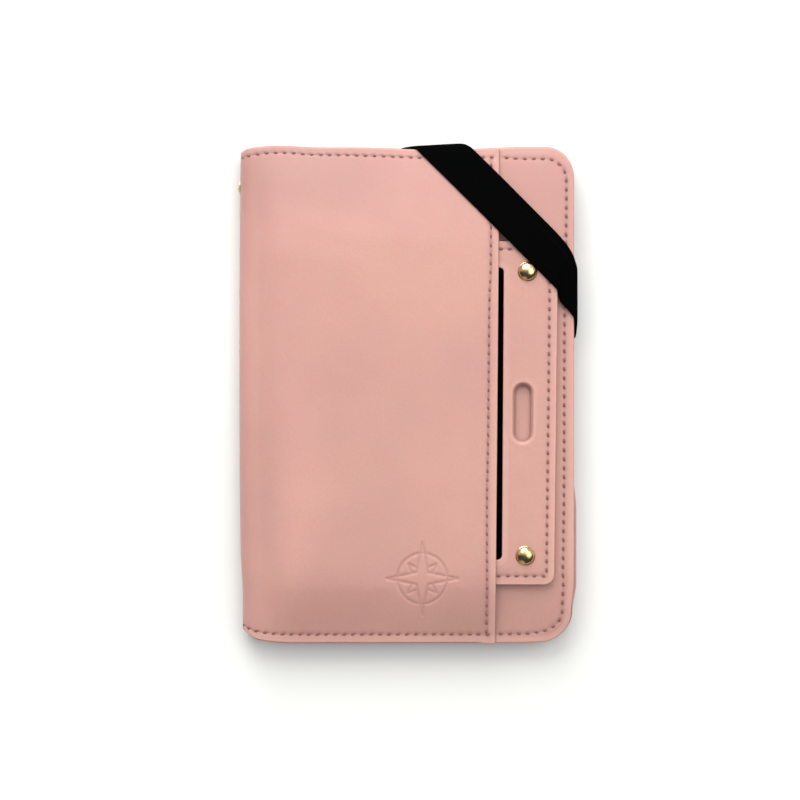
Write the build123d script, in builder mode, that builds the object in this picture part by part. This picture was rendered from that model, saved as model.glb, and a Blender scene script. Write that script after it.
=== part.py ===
"""Passport holder: soft bi-fold cover with a front slip pocket, a pull-out ID sleeve
and an elastic corner band.

Frame (millimetres): the closed holder lies on its back cover.  +Z is up, out of the
front cover; +Y runs towards the head of the holder; the spine is at -X and the cover
opens at +X.  The origin is the centre of the back cover's outer face, so the back
face lies on Z = 0.
"""
import os
from math import sqrt

from build123d import *

os.makedirs("parts", exist_ok=True)

# ---------------------------------------------------------------- shared dimensions
HEIGHT = 145.0            # head to foot
HALF_H = HEIGHT / 2
SPINE_X = -49.0           # outer face of the spine
FRONT_X = 49.1            # fore-edge of the front cover
BACK_X = 49.8             # fore-edge of the back cover, a little proud of the front
COVER_X0 = -46.9          # where each stiff cover starts, beside the spine
CORNER_R = 8.3            # fore-edge corners of both covers

SEAM_INSET = 2.2          # cover edge to the outside of the stitch line
THREAD_W = 0.5
THREAD_D = 0.15
SEAM_INNER = SEAM_INSET + THREAD_W

SKIN_T = 0.8              # outer leather
BOARD_T = 0.6             # stiffener
BOARD_INSET = 3.2         # the leather is turned in over this rim
BOARD_CLEARANCE = 0.1     # board edge to the rim of its recess
LINING_T = 0.4
LINING_INSET = 0.6
CUT_DEPTH = 5.0           # cuts that run out through the far face

BACK_LINING_Z = SKIN_T + BOARD_T + 0.1
BACK_TOP_Z = BACK_LINING_Z + LINING_T
FRONT_Z = 9.2                                  # outer face of the front cover
FRONT_BOARD_Z = FRONT_Z - SKIN_T - BOARD_T
FRONT_LINING_Z = FRONT_BOARD_Z - LINING_T


# ---------------------------------------------------------------- helpers
def save(part, name):
    part.label = name
    export_step(part, f"parts/{name}.step")


# These three draw into the sketch that is open where they are called.
def rectangle_between(x0, x1, y0, y1, mode=Mode.ADD):
    with Locations(((x0 + x1) / 2, (y0 + y1) / 2)):
        Rectangle(x1 - x0, y1 - y0, mode=mode)


def fore_rounded(x0, x1, half_height, radius):
    """Rectangle with its two +X corners rounded."""
    rectangle_between(x0, x1, -half_height, half_height)
    fillet(vertices().sort_by(Axis.X)[-2:], radius)


def cover_outline(fore_x, inset=0.0, radius=CORNER_R):
    fore_rounded(COVER_X0 + inset, fore_x - inset, HALF_H - inset, radius)


# These build a whole part.
def cover_layer(fore_x, z, thickness, inset, radius):
    with BuildPart() as layer:
        with BuildSketch(Plane.XY.offset(z)):
            cover_outline(fore_x, inset, radius)
        extrude(amount=thickness)
    return layer.part


def cover_board(fore_x, z):
    return cover_layer(fore_x, z, BOARD_T, BOARD_INSET + BOARD_CLEARANCE,
                       CORNER_R - BOARD_INSET)


def cover_lining(fore_x, z):
    return cover_layer(fore_x, z, LINING_T, LINING_INSET, CORNER_R - LINING_INSET)


def cover_seam(fore_x, z, gap_x0, gap_x1, gap_half_height):
    """Thread around a cover, left out inside the gap rectangle."""
    with BuildPart() as seam:
        with BuildSketch(Plane.XY.offset(z)):
            cover_outline(fore_x)
            offset(amount=-SEAM_INSET, kind=Kind.ARC)
            with BuildSketch(mode=Mode.SUBTRACT):
                cover_outline(fore_x, SEAM_INNER, CORNER_R - SEAM_INNER)
            rectangle_between(gap_x0, gap_x1, -gap_half_height, gap_half_height,
                              mode=Mode.SUBTRACT)
        extrude(amount=THREAD_D)
    return seam.part


# ================================================================= elastic band
# The band crosses the head fore-edge corner: it rises from the head edge, runs over
# the slip pocket and the sleeve's corner, and drops to the fore-edge.
BAND_T = 0.9
BAND_OUT = 92.1 / sqrt(2)         # origin to the band's outer edge, along the bisector
BAND_PLANE = Plane(origin=(0, 0, 0), x_dir=(1, -1, 0), z_dir=(-1, -1, 0))
# Along the band: (s = (x - y) / sqrt(2), z of the face).
BAND_BOTTOM = [(-62.0, 9.98), (-47.0, 10.15), (-38.0, 11.35), (-27.0, 12.5),
               (-14.0, 12.75), (0.0, 12.45), (9.2, 11.75), (16.4, 9.45), (24.0, 8.8)]
BAND_TOP = [(s, z + BAND_T) for s, z in BAND_BOTTOM]
BAND_S0, BAND_S1 = BAND_BOTTOM[0][0], BAND_BOTTOM[-1][0]
BAND_BELOW_Z = -1.0               # floor of the block used to trim the wraps

HEAD_WRAP_Y = HALF_H + 0.15       # inner face of the head wrap
HEAD_WRAP_T = 0.85
FORE_WRAP_X = BACK_X + 0.1        # inner face of the fore-edge wrap
HEAD_OUT_Y = HEAD_WRAP_Y + HEAD_WRAP_T
FORE_OUT_X = FORE_WRAP_X + BAND_T
BAND_PLAN = [(2.2, HEAD_OUT_Y), (20.2, HEAD_OUT_Y),              # (x, y)
             (FORE_OUT_X, 41.2), (FORE_OUT_X, 24.6)]
HEAD_WRAP = [(3.3, 11.0), (20.2, 13.5), (20.2, 11.0),            # (x, z)
             (13.9, 1.75), (-2.1, 1.75), (2.2, 11.0)]
FORE_WRAP = [(24.6, 13.8), (41.2, 13.8), (40.6, 11.0),           # (y, z)
             (34.3, 1.75), (18.0, 1.75), (22.8, 9.2)]

with BuildPart() as band_span:
    with BuildSketch(BAND_PLANE):
        with BuildLine():
            low = Spline(*BAND_BOTTOM)
            high = Spline(*BAND_TOP)
            Line(low @ 0, high @ 0)
            Line(low @ 1, high @ 1)
        make_face()
    extrude(amount=-BAND_OUT)
    # trim to the band's width and to the outer faces of its two wraps
    with BuildSketch(Plane.XY):
        with BuildLine():
            Polyline(*BAND_PLAN, close=True)
        make_face()
    extrude(amount=20, mode=Mode.INTERSECT)

with BuildPart() as band_under:      # everything below the band's upper surface
    with BuildSketch(BAND_PLANE):
        with BuildLine():
            top = Spline(*BAND_TOP)
            Polyline(top @ 0, (BAND_S0, BAND_BELOW_Z), (BAND_S1, BAND_BELOW_Z), top @ 1)
        make_face()
    extrude(amount=-120)

with BuildPart() as head_wrap:       # runs down over the head edge
    with BuildSketch(Plane.XZ.offset(-HEAD_WRAP_Y)):
        with BuildLine():
            Polyline(*HEAD_WRAP, close=True)
        make_face()
    extrude(amount=-HEAD_WRAP_T)
    add(band_under.part, mode=Mode.INTERSECT)

with BuildPart() as fore_wrap:       # runs down over the fore-edge
    with BuildSketch(Plane.YZ.offset(FORE_WRAP_X)):
        with BuildLine():
            Polyline(*FORE_WRAP, close=True)
        make_face()
    extrude(amount=BAND_T)
    add(band_under.part, mode=Mode.INTERSECT)

with BuildPart() as elastic_band:
    add(band_span.part)
    add(head_wrap.part)
    add(fore_wrap.part)

save(elastic_band.part, "elastic_band")

# Sewn-in ends of the band: they sit in the back cover's seam, under the lining.
TAB_LENGTH, TAB_DEPTH = 16.0, 8.7    # along the cover edge, and across it
TAB_INSET = 3.5                      # cover edge to tab centre
HEAD_TAB_X, FORE_TAB_Y = 5.9, 26.2

with BuildPart() as band_anchor_tabs:
    with BuildSketch(Plane.XY.offset(SKIN_T)):
        with Locations((HEAD_TAB_X, HALF_H - TAB_INSET)):
            Rectangle(TAB_LENGTH, TAB_DEPTH)
        with Locations((BACK_X - TAB_INSET, FORE_TAB_Y)):
            Rectangle(TAB_DEPTH, TAB_LENGTH)
    extrude(amount=BACK_LINING_Z - SKIN_T)

save(band_anchor_tabs.part, "band_anchor_tabs")

# ================================================================= back cover
# The seam runs round head, fore-edge and foot; the run beside the spine is left out.
back_seam_thread = cover_seam(BACK_X, 0, COVER_X0 + SEAM_INSET - 1.0,
                              COVER_X0 + SEAM_INSET + 1.0, HALF_H - SEAM_INNER)
save(back_seam_thread, "back_seam_thread")

with BuildPart() as back_cover_skin:
    with BuildSketch():
        cover_outline(BACK_X)
    extrude(amount=BACK_LINING_Z)
    # the board drops into a recess, and the turned-in rim stays at full height
    with BuildSketch(Plane.XY.offset(SKIN_T)):
        cover_outline(BACK_X, BOARD_INSET, CORNER_R - BOARD_INSET)
    extrude(amount=CUT_DEPTH, mode=Mode.SUBTRACT)
    add(band_anchor_tabs.part, mode=Mode.SUBTRACT)
    add(back_seam_thread, mode=Mode.SUBTRACT)

save(back_cover_skin.part, "back_cover_skin")

with BuildPart() as back_cover_board:
    add(cover_board(BACK_X, SKIN_T))
    add(band_anchor_tabs.part, mode=Mode.SUBTRACT)

save(back_cover_board.part, "back_cover_board")

save(cover_lining(BACK_X, BACK_LINING_Z), "back_lining")

# Passport pocket: a leather panel sewn down on three sides, open towards the spine.
PASSPORT_X0, PASSPORT_X1, PASSPORT_HALF_H = -44.0, 48.4, 71.2
PASSPORT_GAP = 2.9
PASSPORT_T = 0.6
PASSPORT_R = CORNER_R - 1.2
THUMB_NOTCH_R = 11.0

with BuildPart() as passport_pocket:
    with BuildSketch(Plane.XY.offset(BACK_TOP_Z)):
        fore_rounded(PASSPORT_X0, PASSPORT_X1, PASSPORT_HALF_H, PASSPORT_R)
    extrude(amount=PASSPORT_GAP + PASSPORT_T)
    # the hollow runs out past the spine side
    with BuildSketch(Plane.XY.offset(BACK_TOP_Z)):
        fore_rounded(PASSPORT_X0 - 20 + PASSPORT_T, PASSPORT_X1 - PASSPORT_T,
                     PASSPORT_HALF_H - PASSPORT_T, PASSPORT_R - PASSPORT_T)
    extrude(amount=PASSPORT_GAP, mode=Mode.SUBTRACT)
    with BuildSketch(Plane.XY.offset(BACK_TOP_Z + PASSPORT_GAP)):
        with Locations((PASSPORT_X0, 0)):
            Circle(THUMB_NOTCH_R)
    extrude(amount=3, mode=Mode.SUBTRACT)

save(passport_pocket.part, "passport_pocket")

# ================================================================= spine
SPINE_INSET_Z = 2.0       # spine edges, in from each cover's outer face
SPINE_Z0, SPINE_Z1 = SPINE_INSET_Z, FRONT_Z - SPINE_INSET_Z
STRIP_T = 0.5
SPINE_T = SKIN_T + STRIP_T + LINING_T

STUD_Y, STUD_Z = 61.8, (SPINE_Z0 + SPINE_Z1) / 2
STUD_R, STUD_H = 2.1, 0.8
STUD_RIM = 0.15           # straight rim below the dome
STUD_SHANK_R = 0.8
STUD_HOLE_R = 0.85
WASHER_R, WASHER_T = 1.7, 0.25

# (name, distance in from the spine's outer face, thickness, y inset, z inset)
SPINE_LAYERS = [
    ("spine_skin", 0.0, SKIN_T, 0.0, 0.0),
    ("spine_strip", SKIN_T, STRIP_T, 4.0, 0.3),
    ("spine_lining", SKIN_T + STRIP_T, LINING_T, 1.0, 0.0),
]

for name, depth, thickness, inset_y, inset_z in SPINE_LAYERS:
    with BuildPart() as spine_layer:
        with BuildSketch(Plane.XY.offset(SPINE_Z0 + inset_z)):
            rectangle_between(SPINE_X + depth, SPINE_X + depth + thickness,
                              -HALF_H + inset_y, HALF_H - inset_y)
        extrude(amount=SPINE_Z1 - SPINE_Z0 - 2 * inset_z)
        with BuildSketch(Plane.YZ.offset(SPINE_X - 1)):
            with Locations((STUD_Y, STUD_Z)):
                Circle(STUD_HOLE_R)
        extrude(amount=CUT_DEPTH, mode=Mode.SUBTRACT)
    save(spine_layer.part, name)

# Domed stud, turned about Y and then laid over so that its head points to -X.
with BuildPart() as spine_stud:
    with BuildSketch(Plane.XY):
        with BuildLine():
            Polyline((0, -SPINE_T), (STUD_SHANK_R, -SPINE_T), (STUD_SHANK_R, 0),
                     (STUD_R, 0), (STUD_R, STUD_RIM))
            Spline((STUD_R, STUD_RIM), (1.35, 0.6), (0, STUD_H),
                   tangents=((0, 1), (-1, 0)))
            Line((0, STUD_H), (0, -SPINE_T))
        make_face()
    revolve(axis=Axis.Y)

save(Location((SPINE_X, STUD_Y, STUD_Z), (0, 0, 90)) * spine_stud.part, "spine_stud")

with BuildPart() as spine_stud_washer:
    with BuildSketch(Plane.YZ.offset(SPINE_X + SPINE_T)):
        with Locations((STUD_Y, STUD_Z)):
            Circle(WASHER_R)
    extrude(amount=WASHER_T)

save(spine_stud_washer.part, "spine_stud_washer")

# ================================================================= front cover
PANEL_X1 = 26.6           # open edge of the slip pocket panel

# The part of the stitched border that the slip pocket panel leaves bare.
front_cover_seam = cover_seam(FRONT_X, FRONT_Z - THREAD_D, COVER_X0, PANEL_X1 + 0.1, HALF_H)

with BuildPart() as front_cover_skin:
    with BuildSketch(Plane.XY.offset(FRONT_BOARD_Z)):
        cover_outline(FRONT_X)
    extrude(amount=FRONT_Z - FRONT_BOARD_Z)
    with BuildSketch(Plane.XY.offset(FRONT_BOARD_Z)):
        cover_outline(FRONT_X, BOARD_INSET, CORNER_R - BOARD_INSET)
    extrude(amount=BOARD_T, mode=Mode.SUBTRACT)
    add(front_cover_seam, mode=Mode.SUBTRACT)

save(front_cover_skin.part, "front_cover_skin")
save(cover_board(FRONT_X, FRONT_BOARD_Z), "front_cover_board")
save(cover_lining(FRONT_X, FRONT_LINING_Z), "front_lining")

# Two stepped card panels inside the front cover, hemmed on three sides, open to the head.
CARD_PANEL_X0, CARD_PANEL_X1, CARD_PANEL_Y0 = -44.0, 47.6, -70.9
CARD_PANEL_T = 0.5
CARD_GAP = 0.3
CARD_HEM = 2.5
CARD_PITCH = CARD_PANEL_T + CARD_GAP

# (name, z of the underside, y of the open edge)
CARD_PANELS = [
    ("card_panel_upper", FRONT_LINING_Z - CARD_PITCH, 16.0),
    ("card_panel_lower", FRONT_LINING_Z - 2 * CARD_PITCH, -6.0),
]

for name, panel_z, open_y in CARD_PANELS:
    with BuildPart() as card_panel:
        with BuildSketch(Plane.XY.offset(panel_z)):
            rectangle_between(CARD_PANEL_X0, CARD_PANEL_X1, CARD_PANEL_Y0, open_y)
            # only the corner at the foot of the fore-edge is rounded
            fillet(vertices().sort_by(Axis.X)[-2:].sort_by(Axis.Y)[:1], CORNER_R - 1.5)
        extrude(amount=CARD_PITCH)
        with BuildSketch(Plane.XY.offset(panel_z + CARD_PANEL_T)):
            rectangle_between(CARD_PANEL_X0 + CARD_HEM, CARD_PANEL_X1 - CARD_HEM,
                              CARD_PANEL_Y0 + CARD_HEM, open_y + 1.0)
        extrude(amount=CARD_GAP, mode=Mode.SUBTRACT)
    save(card_panel.part, name)

# ================================================================= sleeve dimensions
SLEEVE_X0, SLEEVE_X1 = -33.0, 43.9
SLEEVE_Y0, SLEEVE_Y1 = -55.7, 45.4
SLEEVE_CX = (SLEEVE_X0 + SLEEVE_X1) / 2
SLEEVE_CY = (SLEEVE_Y0 + SLEEVE_Y1) / 2
SLEEVE_R = 3.0
SLEEVE_LEATHER_T = 0.6
LINER_T = 0.15
SLEEVE_CARD_GAP = 0.8
FILM_T = 0.15
SLEEVE_Z = FRONT_Z + 0.05
SPACER_Z = SLEEVE_Z + SLEEVE_LEATHER_T
SLEEVE_FRONT_Z = SPACER_Z + LINER_T + SLEEVE_CARD_GAP + FILM_T
SLEEVE_TOP_Z = SLEEVE_FRONT_Z + SLEEVE_LEATHER_T

# ================================================================= slip pocket panel
# Flush on the cover at head and foot, raised over the sleeve.
PANEL_T = 0.7
PANEL_LOW_Z = FRONT_Z + 0.02
PANEL_HIGH_Z = SLEEVE_TOP_Z + 0.1
PANEL_STITCH_X = 24.3
# (y, z) along the underside, foot to head
PANEL_UNDER = [(-HALF_H, PANEL_LOW_Z), (-69.8, PANEL_LOW_Z), (-57.2, PANEL_HIGH_Z),
               (47.5, PANEL_HIGH_Z), (69.0, PANEL_LOW_Z), (HALF_H, PANEL_LOW_Z)]
PANEL_OVER = [(y, z + PANEL_T) for y, z in PANEL_UNDER]
STITCH_TOP = PANEL_OVER[1:-1]
STITCH_BOTTOM = [(y, z - THREAD_D) for y, z in STITCH_TOP]

with BuildPart() as pocket_edge_thread:
    with BuildSketch(Plane.YZ.offset(PANEL_STITCH_X - THREAD_W / 2)):
        with BuildLine():
            Polyline(*STITCH_TOP, *reversed(STITCH_BOTTOM), close=True)
        make_face()
    extrude(amount=THREAD_W)

save(pocket_edge_thread.part, "pocket_edge_thread")

with BuildPart() as panel_border_threads:    # along the panel's head and foot
    with BuildSketch(Plane.XY.offset(PANEL_LOW_Z + PANEL_T - THREAD_D)):
        for y0 in (HALF_H - SEAM_INNER, -HALF_H + SEAM_INSET):
            rectangle_between(COVER_X0 + 1.0, PANEL_X1 - 0.6, y0, y0 + THREAD_W)
    extrude(amount=THREAD_D)

with BuildPart() as slip_pocket_panel:
    with BuildSketch(Plane.YZ.offset(COVER_X0)):
        with BuildLine():
            Polyline(*PANEL_UNDER, *reversed(PANEL_OVER), close=True)
        make_face()
    extrude(amount=PANEL_X1 - COVER_X0)
    add(pocket_edge_thread.part, mode=Mode.SUBTRACT)
    add(panel_border_threads.part, mode=Mode.SUBTRACT)

save(slip_pocket_panel.part, "slip_pocket_panel")

with BuildPart() as front_seam_thread:
    add(front_cover_seam)
    add(panel_border_threads.part)

save(front_seam_thread.part, "front_seam_thread")

# ================================================================= pull-out sleeve
WINDOW_X0, WINDOW_X1 = -24.0, 28.2
WINDOW_Y0, WINDOW_Y1 = -48.3, 37.6
WINDOW_R = 1.3
CARD_X1 = 29.8            # blind end of the card space
CARD_INSET_Y = 4.2        # card space, in from the sleeve's head and foot
SHEET_CLEARANCE = 0.1     # liner and film, in from the card space
SPACER_INSET = 0.3
SLEEVE_SEAM_INSET, SLEEVE_SEAM_R = 2.1, 1.2
SLOT_X, SLOT_W, SLOT_L = 34.1, 6.6, 17.5

RIVET_X, RIVET_Y = 35.0, (36.5, -47.1)
RIVET_SPOTS = [(RIVET_X, y) for y in RIVET_Y]
RIVET_R, RIVET_H = 2.8, 1.2
RIVET_RIM = 0.2           # straight rim below the dome
RIVET_SHANK_R = 1.2
RIVET_HOLE_R = RIVET_SHANK_R + 0.02
RIVET_BACK_R, RIVET_BACK_T = 2.6, 0.3


# These three draw into the sketch that is open where they are called.
def sleeve_outline(inset=0.0, radius=SLEEVE_R, mode=Mode.ADD):
    with Locations((SLEEVE_CX, SLEEVE_CY)):
        RectangleRounded(SLEEVE_X1 - SLEEVE_X0 - 2 * inset,
                         SLEEVE_Y1 - SLEEVE_Y0 - 2 * inset, radius, mode=mode)


def rivet_circles(radius, mode=Mode.ADD):
    with Locations(*RIVET_SPOTS):
        Circle(radius, mode=mode)


def cut_slot_and_rivet_holes(slot_growth=0.0):
    with Locations((SLOT_X, SLEEVE_CY)):
        SlotOverall(SLOT_L + slot_growth, SLOT_W + slot_growth, rotation=90,
                    mode=Mode.SUBTRACT)
    rivet_circles(RIVET_HOLE_R, mode=Mode.SUBTRACT)


def card_space_sheet(x0, z, thickness):
    """Thin sheet, as a whole part, from x0 to the blind end of the card space."""
    inset_y = CARD_INSET_Y + SHEET_CLEARANCE
    with BuildPart() as sheet:
        with BuildSketch(Plane.XY.offset(z)):
            rectangle_between(x0, CARD_X1 - SHEET_CLEARANCE,
                              SLEEVE_Y0 + inset_y, SLEEVE_Y1 - inset_y)
        extrude(amount=thickness)
    return sheet.part


with BuildPart() as sleeve_back:
    with BuildSketch(Plane.XY.offset(SLEEVE_Z)):
        sleeve_outline()
        cut_slot_and_rivet_holes()
    extrude(amount=SLEEVE_LEATHER_T)
    # recesses for the rivet backs
    with BuildSketch(Plane.XY.offset(SLEEVE_Z)):
        rivet_circles(RIVET_BACK_R + 0.05)
    extrude(amount=RIVET_BACK_T, mode=Mode.SUBTRACT)

save(sleeve_back.part, "sleeve_back")

save(card_space_sheet(SLEEVE_X0 + 1.0, SPACER_Z, LINER_T), "sleeve_liner")

with BuildPart() as sleeve_spacer:
    with BuildSketch(Plane.XY.offset(SPACER_Z)):
        sleeve_outline(SPACER_INSET, SLEEVE_R - SPACER_INSET)
        # card space, open towards the spine
        rectangle_between(SLEEVE_X0 - 5.0, CARD_X1, SLEEVE_Y0 + CARD_INSET_Y,
                          SLEEVE_Y1 - CARD_INSET_Y, mode=Mode.SUBTRACT)
        cut_slot_and_rivet_holes(slot_growth=0.2)
    extrude(amount=SLEEVE_FRONT_Z - SPACER_Z)

save(sleeve_spacer.part, "sleeve_spacer")

save(card_space_sheet(WINDOW_X0 - 3.5, SLEEVE_FRONT_Z - FILM_T, FILM_T),
     "sleeve_window_film")

with BuildPart() as sleeve_seam_thread:
    with BuildSketch(Plane.XY.offset(SLEEVE_TOP_Z - THREAD_D)):
        sleeve_outline(SLEEVE_SEAM_INSET, SLEEVE_SEAM_R)
        sleeve_outline(SLEEVE_SEAM_INSET + THREAD_W, SLEEVE_SEAM_R - THREAD_W,
                       mode=Mode.SUBTRACT)
        # no stitching along the spine side
        rectangle_between(SLEEVE_X0 - 3.0, SLEEVE_X0 + 3.0, SLEEVE_Y0, SLEEVE_Y1,
                          mode=Mode.SUBTRACT)
    extrude(amount=THREAD_D)

save(sleeve_seam_thread.part, "sleeve_seam_thread")

with BuildPart() as sleeve_front:
    with BuildSketch(Plane.XY.offset(SLEEVE_FRONT_Z)):
        sleeve_outline()
        with Locations(((WINDOW_X0 + WINDOW_X1) / 2, (WINDOW_Y0 + WINDOW_Y1) / 2)):
            RectangleRounded(WINDOW_X1 - WINDOW_X0, WINDOW_Y1 - WINDOW_Y0, WINDOW_R,
                             mode=Mode.SUBTRACT)
        cut_slot_and_rivet_holes()
    extrude(amount=SLEEVE_LEATHER_T)
    add(sleeve_seam_thread.part, mode=Mode.SUBTRACT)

save(sleeve_front.part, "sleeve_front")

SHANK_Z = SLEEVE_Z + RIVET_BACK_T
RIM_Z = SLEEVE_TOP_Z + RIVET_RIM
DOME_Z = SLEEVE_TOP_Z + RIVET_H

with BuildPart() as rivet_caps:      # domed head and shank in one piece
    for rivet_y in RIVET_Y:
        with BuildSketch(Plane.XZ.offset(-rivet_y)):
            with BuildLine():
                Polyline((RIVET_X, SHANK_Z), (RIVET_X + RIVET_SHANK_R, SHANK_Z),
                         (RIVET_X + RIVET_SHANK_R, SLEEVE_TOP_Z),
                         (RIVET_X + RIVET_R, SLEEVE_TOP_Z), (RIVET_X + RIVET_R, RIM_Z))
                Spline((RIVET_X + RIVET_R, RIM_Z), (RIVET_X + 1.75, SLEEVE_TOP_Z + 0.9),
                       (RIVET_X, DOME_Z), tangents=((0, 1), (-1, 0)))
                Line((RIVET_X, DOME_Z), (RIVET_X, SHANK_Z))
            make_face()
        revolve(axis=Axis((RIVET_X, rivet_y, 0), (0, 0, 1)))

save(rivet_caps.part, "rivet_caps")

with BuildPart() as rivet_backs:
    with BuildSketch(Plane.XY.offset(SLEEVE_Z)):
        rivet_circles(RIVET_BACK_R)
    extrude(amount=RIVET_BACK_T)

save(rivet_backs.part, "rivet_backs")
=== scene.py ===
"""A closed passport cover in rose leather, lying flat with its front cover up.

+Z is up, +Y is the head and -Y the foot. The spine runs along the -X side, the fore-edge along +X.
A slip pocket on the front holds a sleeve with a clear window, and an elastic band crosses the
corner of head and fore-edge. Inside are a passport pocket and two card panels.
Lengths are millimetres, turned to metres when a mesh is made. Lights and camera are in metres.
"""
import math
import bpy
import numpy as np
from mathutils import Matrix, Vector
from mathutils.geometry import delaunay_2d_cdt


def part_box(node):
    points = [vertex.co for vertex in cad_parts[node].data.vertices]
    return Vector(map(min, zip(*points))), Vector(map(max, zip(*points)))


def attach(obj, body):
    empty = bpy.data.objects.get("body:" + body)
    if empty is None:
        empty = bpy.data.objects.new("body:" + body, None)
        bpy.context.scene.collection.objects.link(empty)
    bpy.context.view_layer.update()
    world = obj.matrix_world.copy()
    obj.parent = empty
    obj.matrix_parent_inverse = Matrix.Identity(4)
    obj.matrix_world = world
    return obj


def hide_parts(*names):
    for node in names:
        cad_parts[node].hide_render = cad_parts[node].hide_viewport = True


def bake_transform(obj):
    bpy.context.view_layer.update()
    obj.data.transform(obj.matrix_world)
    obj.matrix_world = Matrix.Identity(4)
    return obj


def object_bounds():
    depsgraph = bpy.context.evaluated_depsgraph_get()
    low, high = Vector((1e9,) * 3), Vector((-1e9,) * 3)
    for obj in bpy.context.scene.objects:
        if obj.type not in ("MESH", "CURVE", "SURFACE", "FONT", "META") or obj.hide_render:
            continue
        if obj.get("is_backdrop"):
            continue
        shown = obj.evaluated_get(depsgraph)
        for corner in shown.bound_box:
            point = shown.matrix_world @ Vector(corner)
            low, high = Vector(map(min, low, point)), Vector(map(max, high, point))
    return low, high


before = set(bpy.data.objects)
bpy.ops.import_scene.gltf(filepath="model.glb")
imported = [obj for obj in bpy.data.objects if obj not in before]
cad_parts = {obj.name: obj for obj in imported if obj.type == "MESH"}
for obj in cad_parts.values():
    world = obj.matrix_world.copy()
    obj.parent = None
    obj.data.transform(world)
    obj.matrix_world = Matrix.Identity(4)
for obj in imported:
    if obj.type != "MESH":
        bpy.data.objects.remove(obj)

cad_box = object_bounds()
PI = math.pi


def limits(node):
    """Low and high corners of a CAD piece, in millimetres."""
    low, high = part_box(node)
    return [v * 1000 for v in low], [v * 1000 for v in high]


# ---------------------------------------------------------------- driving sizes
_, (FRONT_X, HALF, FRONT_Z) = limits("front_cover_skin")   # fore-edge, half height, outer face
_, (BACK_X, _, _) = limits("back_cover_skin")
_, (POCKET_X, _, _) = limits("slip_pocket_panel")
SLEEVE_LOW, SLEEVE_HIGH = limits("sleeve_front")
SLEEVE_TOP = SLEEVE_HIGH[2]
MID_Z = FRONT_Z / 2                # middle of the spine
CORNER = 8.3                       # corner radius of the covers
SEAM = 2.2                         # from a cover's edge to its seam
PITCH = 2.65                       # from stitch to stitch
STITCH = 1.42                      # length of a stitch
PATH_STEP = 0.33                   # spacing of points along a seam path
POCKET_T = 0.7                     # thickness of the slip pocket's leather
POCKET_LOW = FRONT_Z + POCKET_T + 0.02
POCKET_LEAN = 0.0085               # x per y along the slip pocket's open edge
SPINE_START = -44.7                # where the covers' flat part ends
SPINE_BULGE = 4.5                  # how far the spine stands out beyond that
SPINE_POWER = 2.5                  # of the superellipse the spine follows
FAR_LEFT = -90.0                   # beyond the spine; the sheets are cut off before it
HOLE_REACH = 2.6                   # how far from a hole its rings of points go

# distances from a sheet's edge at which rings of points run
EDGE_RINGS = [0, 0.03, 0.1, 0.2, 0.34, 0.5, 0.75]
SEAM_RINGS = [1.15, 1.55, 1.85, 2.05, 2.2, 2.35, 2.55, 2.8, 3.05, 3.35, 3.7, 4.2, 5.0]


# ---------------------------------------------------------------- small maths
def smooth(t):
    t = np.clip(t, 0, 1)
    return t * t * (3 - 2 * t)


def spline(stations, values):
    """Monotone cubic through the points, as a numpy function."""
    xs, ys = np.array(stations, float), np.array(values, float)
    h = np.diff(xs)
    slope = np.diff(ys) / h
    m = np.zeros(len(xs))
    m[0], m[-1] = slope[0], slope[-1]
    for i in range(1, len(xs) - 1):
        if slope[i - 1] * slope[i] > 0:
            w1, w2 = 2 * h[i] + h[i - 1], h[i] + 2 * h[i - 1]
            m[i] = (w1 + w2) / (w1 / slope[i - 1] + w2 / slope[i])

    def value(x):
        x = np.clip(np.asarray(x, float), xs[0], xs[-1])
        i = np.clip(np.searchsorted(xs, x) - 1, 0, len(h) - 1)
        t = (x - xs[i]) / h[i]
        return ((2 * t**3 - 3 * t**2 + 1) * ys[i] + (t**3 - 2 * t**2 + t) * h[i] * m[i]
                + (-2 * t**3 + 3 * t**2) * ys[i + 1] + (t**3 - t**2) * h[i] * m[i + 1])

    return value


def running(lengths):
    """Length from the start at each point, from the lengths between points."""
    return np.concatenate([[0], np.cumsum(lengths)])


def running3(points):
    return running(np.linalg.norm(np.diff(points, axis=0), axis=1))


def at_lengths(wanted, cum, points):
    """Points interpolated at the wanted lengths."""
    return np.stack([np.interp(wanted, cum, column) for column in points.T], 1)


def unit(vectors):
    return vectors / np.linalg.norm(vectors, axis=1)[:, None]


def bell(reach, width):
    """Normalised bell-shaped weights from -reach to reach."""
    g = np.exp(-(np.arange(-reach, reach + 1) / width) ** 2)
    return g / g.sum()


def blur(values, weights):
    return np.convolve(np.pad(values, len(weights) // 2, mode="edge"), weights, "valid")


def sorted_by(points, axis, sign=1):
    return points[np.argsort(sign * points[:, axis])]


# ---------------------------------------------------------------- outlines
# An outline is a rounded rectangle: x0, x1, y0, y1,
# (radii at low left, low right, high right, high left).
def edge_distance(outline, x, y):
    """Distance to the edge of an outline, positive inside."""
    x0, x1, y0, y1, (r_bl, r_br, r_tr, r_tl) = outline
    cx, cy = (x0 + x1) / 2, (y0 + y1) / 2
    r = np.where(x > cx, np.where(y > cy, r_tr, r_br), np.where(y > cy, r_tl, r_bl))
    qx = np.abs(x - cx) - (x1 - x0) / 2 + r
    qy = np.abs(y - cy) - (y1 - y0) / 2 + r
    outside = np.hypot(np.maximum(qx, 0), np.maximum(qy, 0))
    return -(outside + np.minimum(np.maximum(qx, qy), 0) - r)


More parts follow.
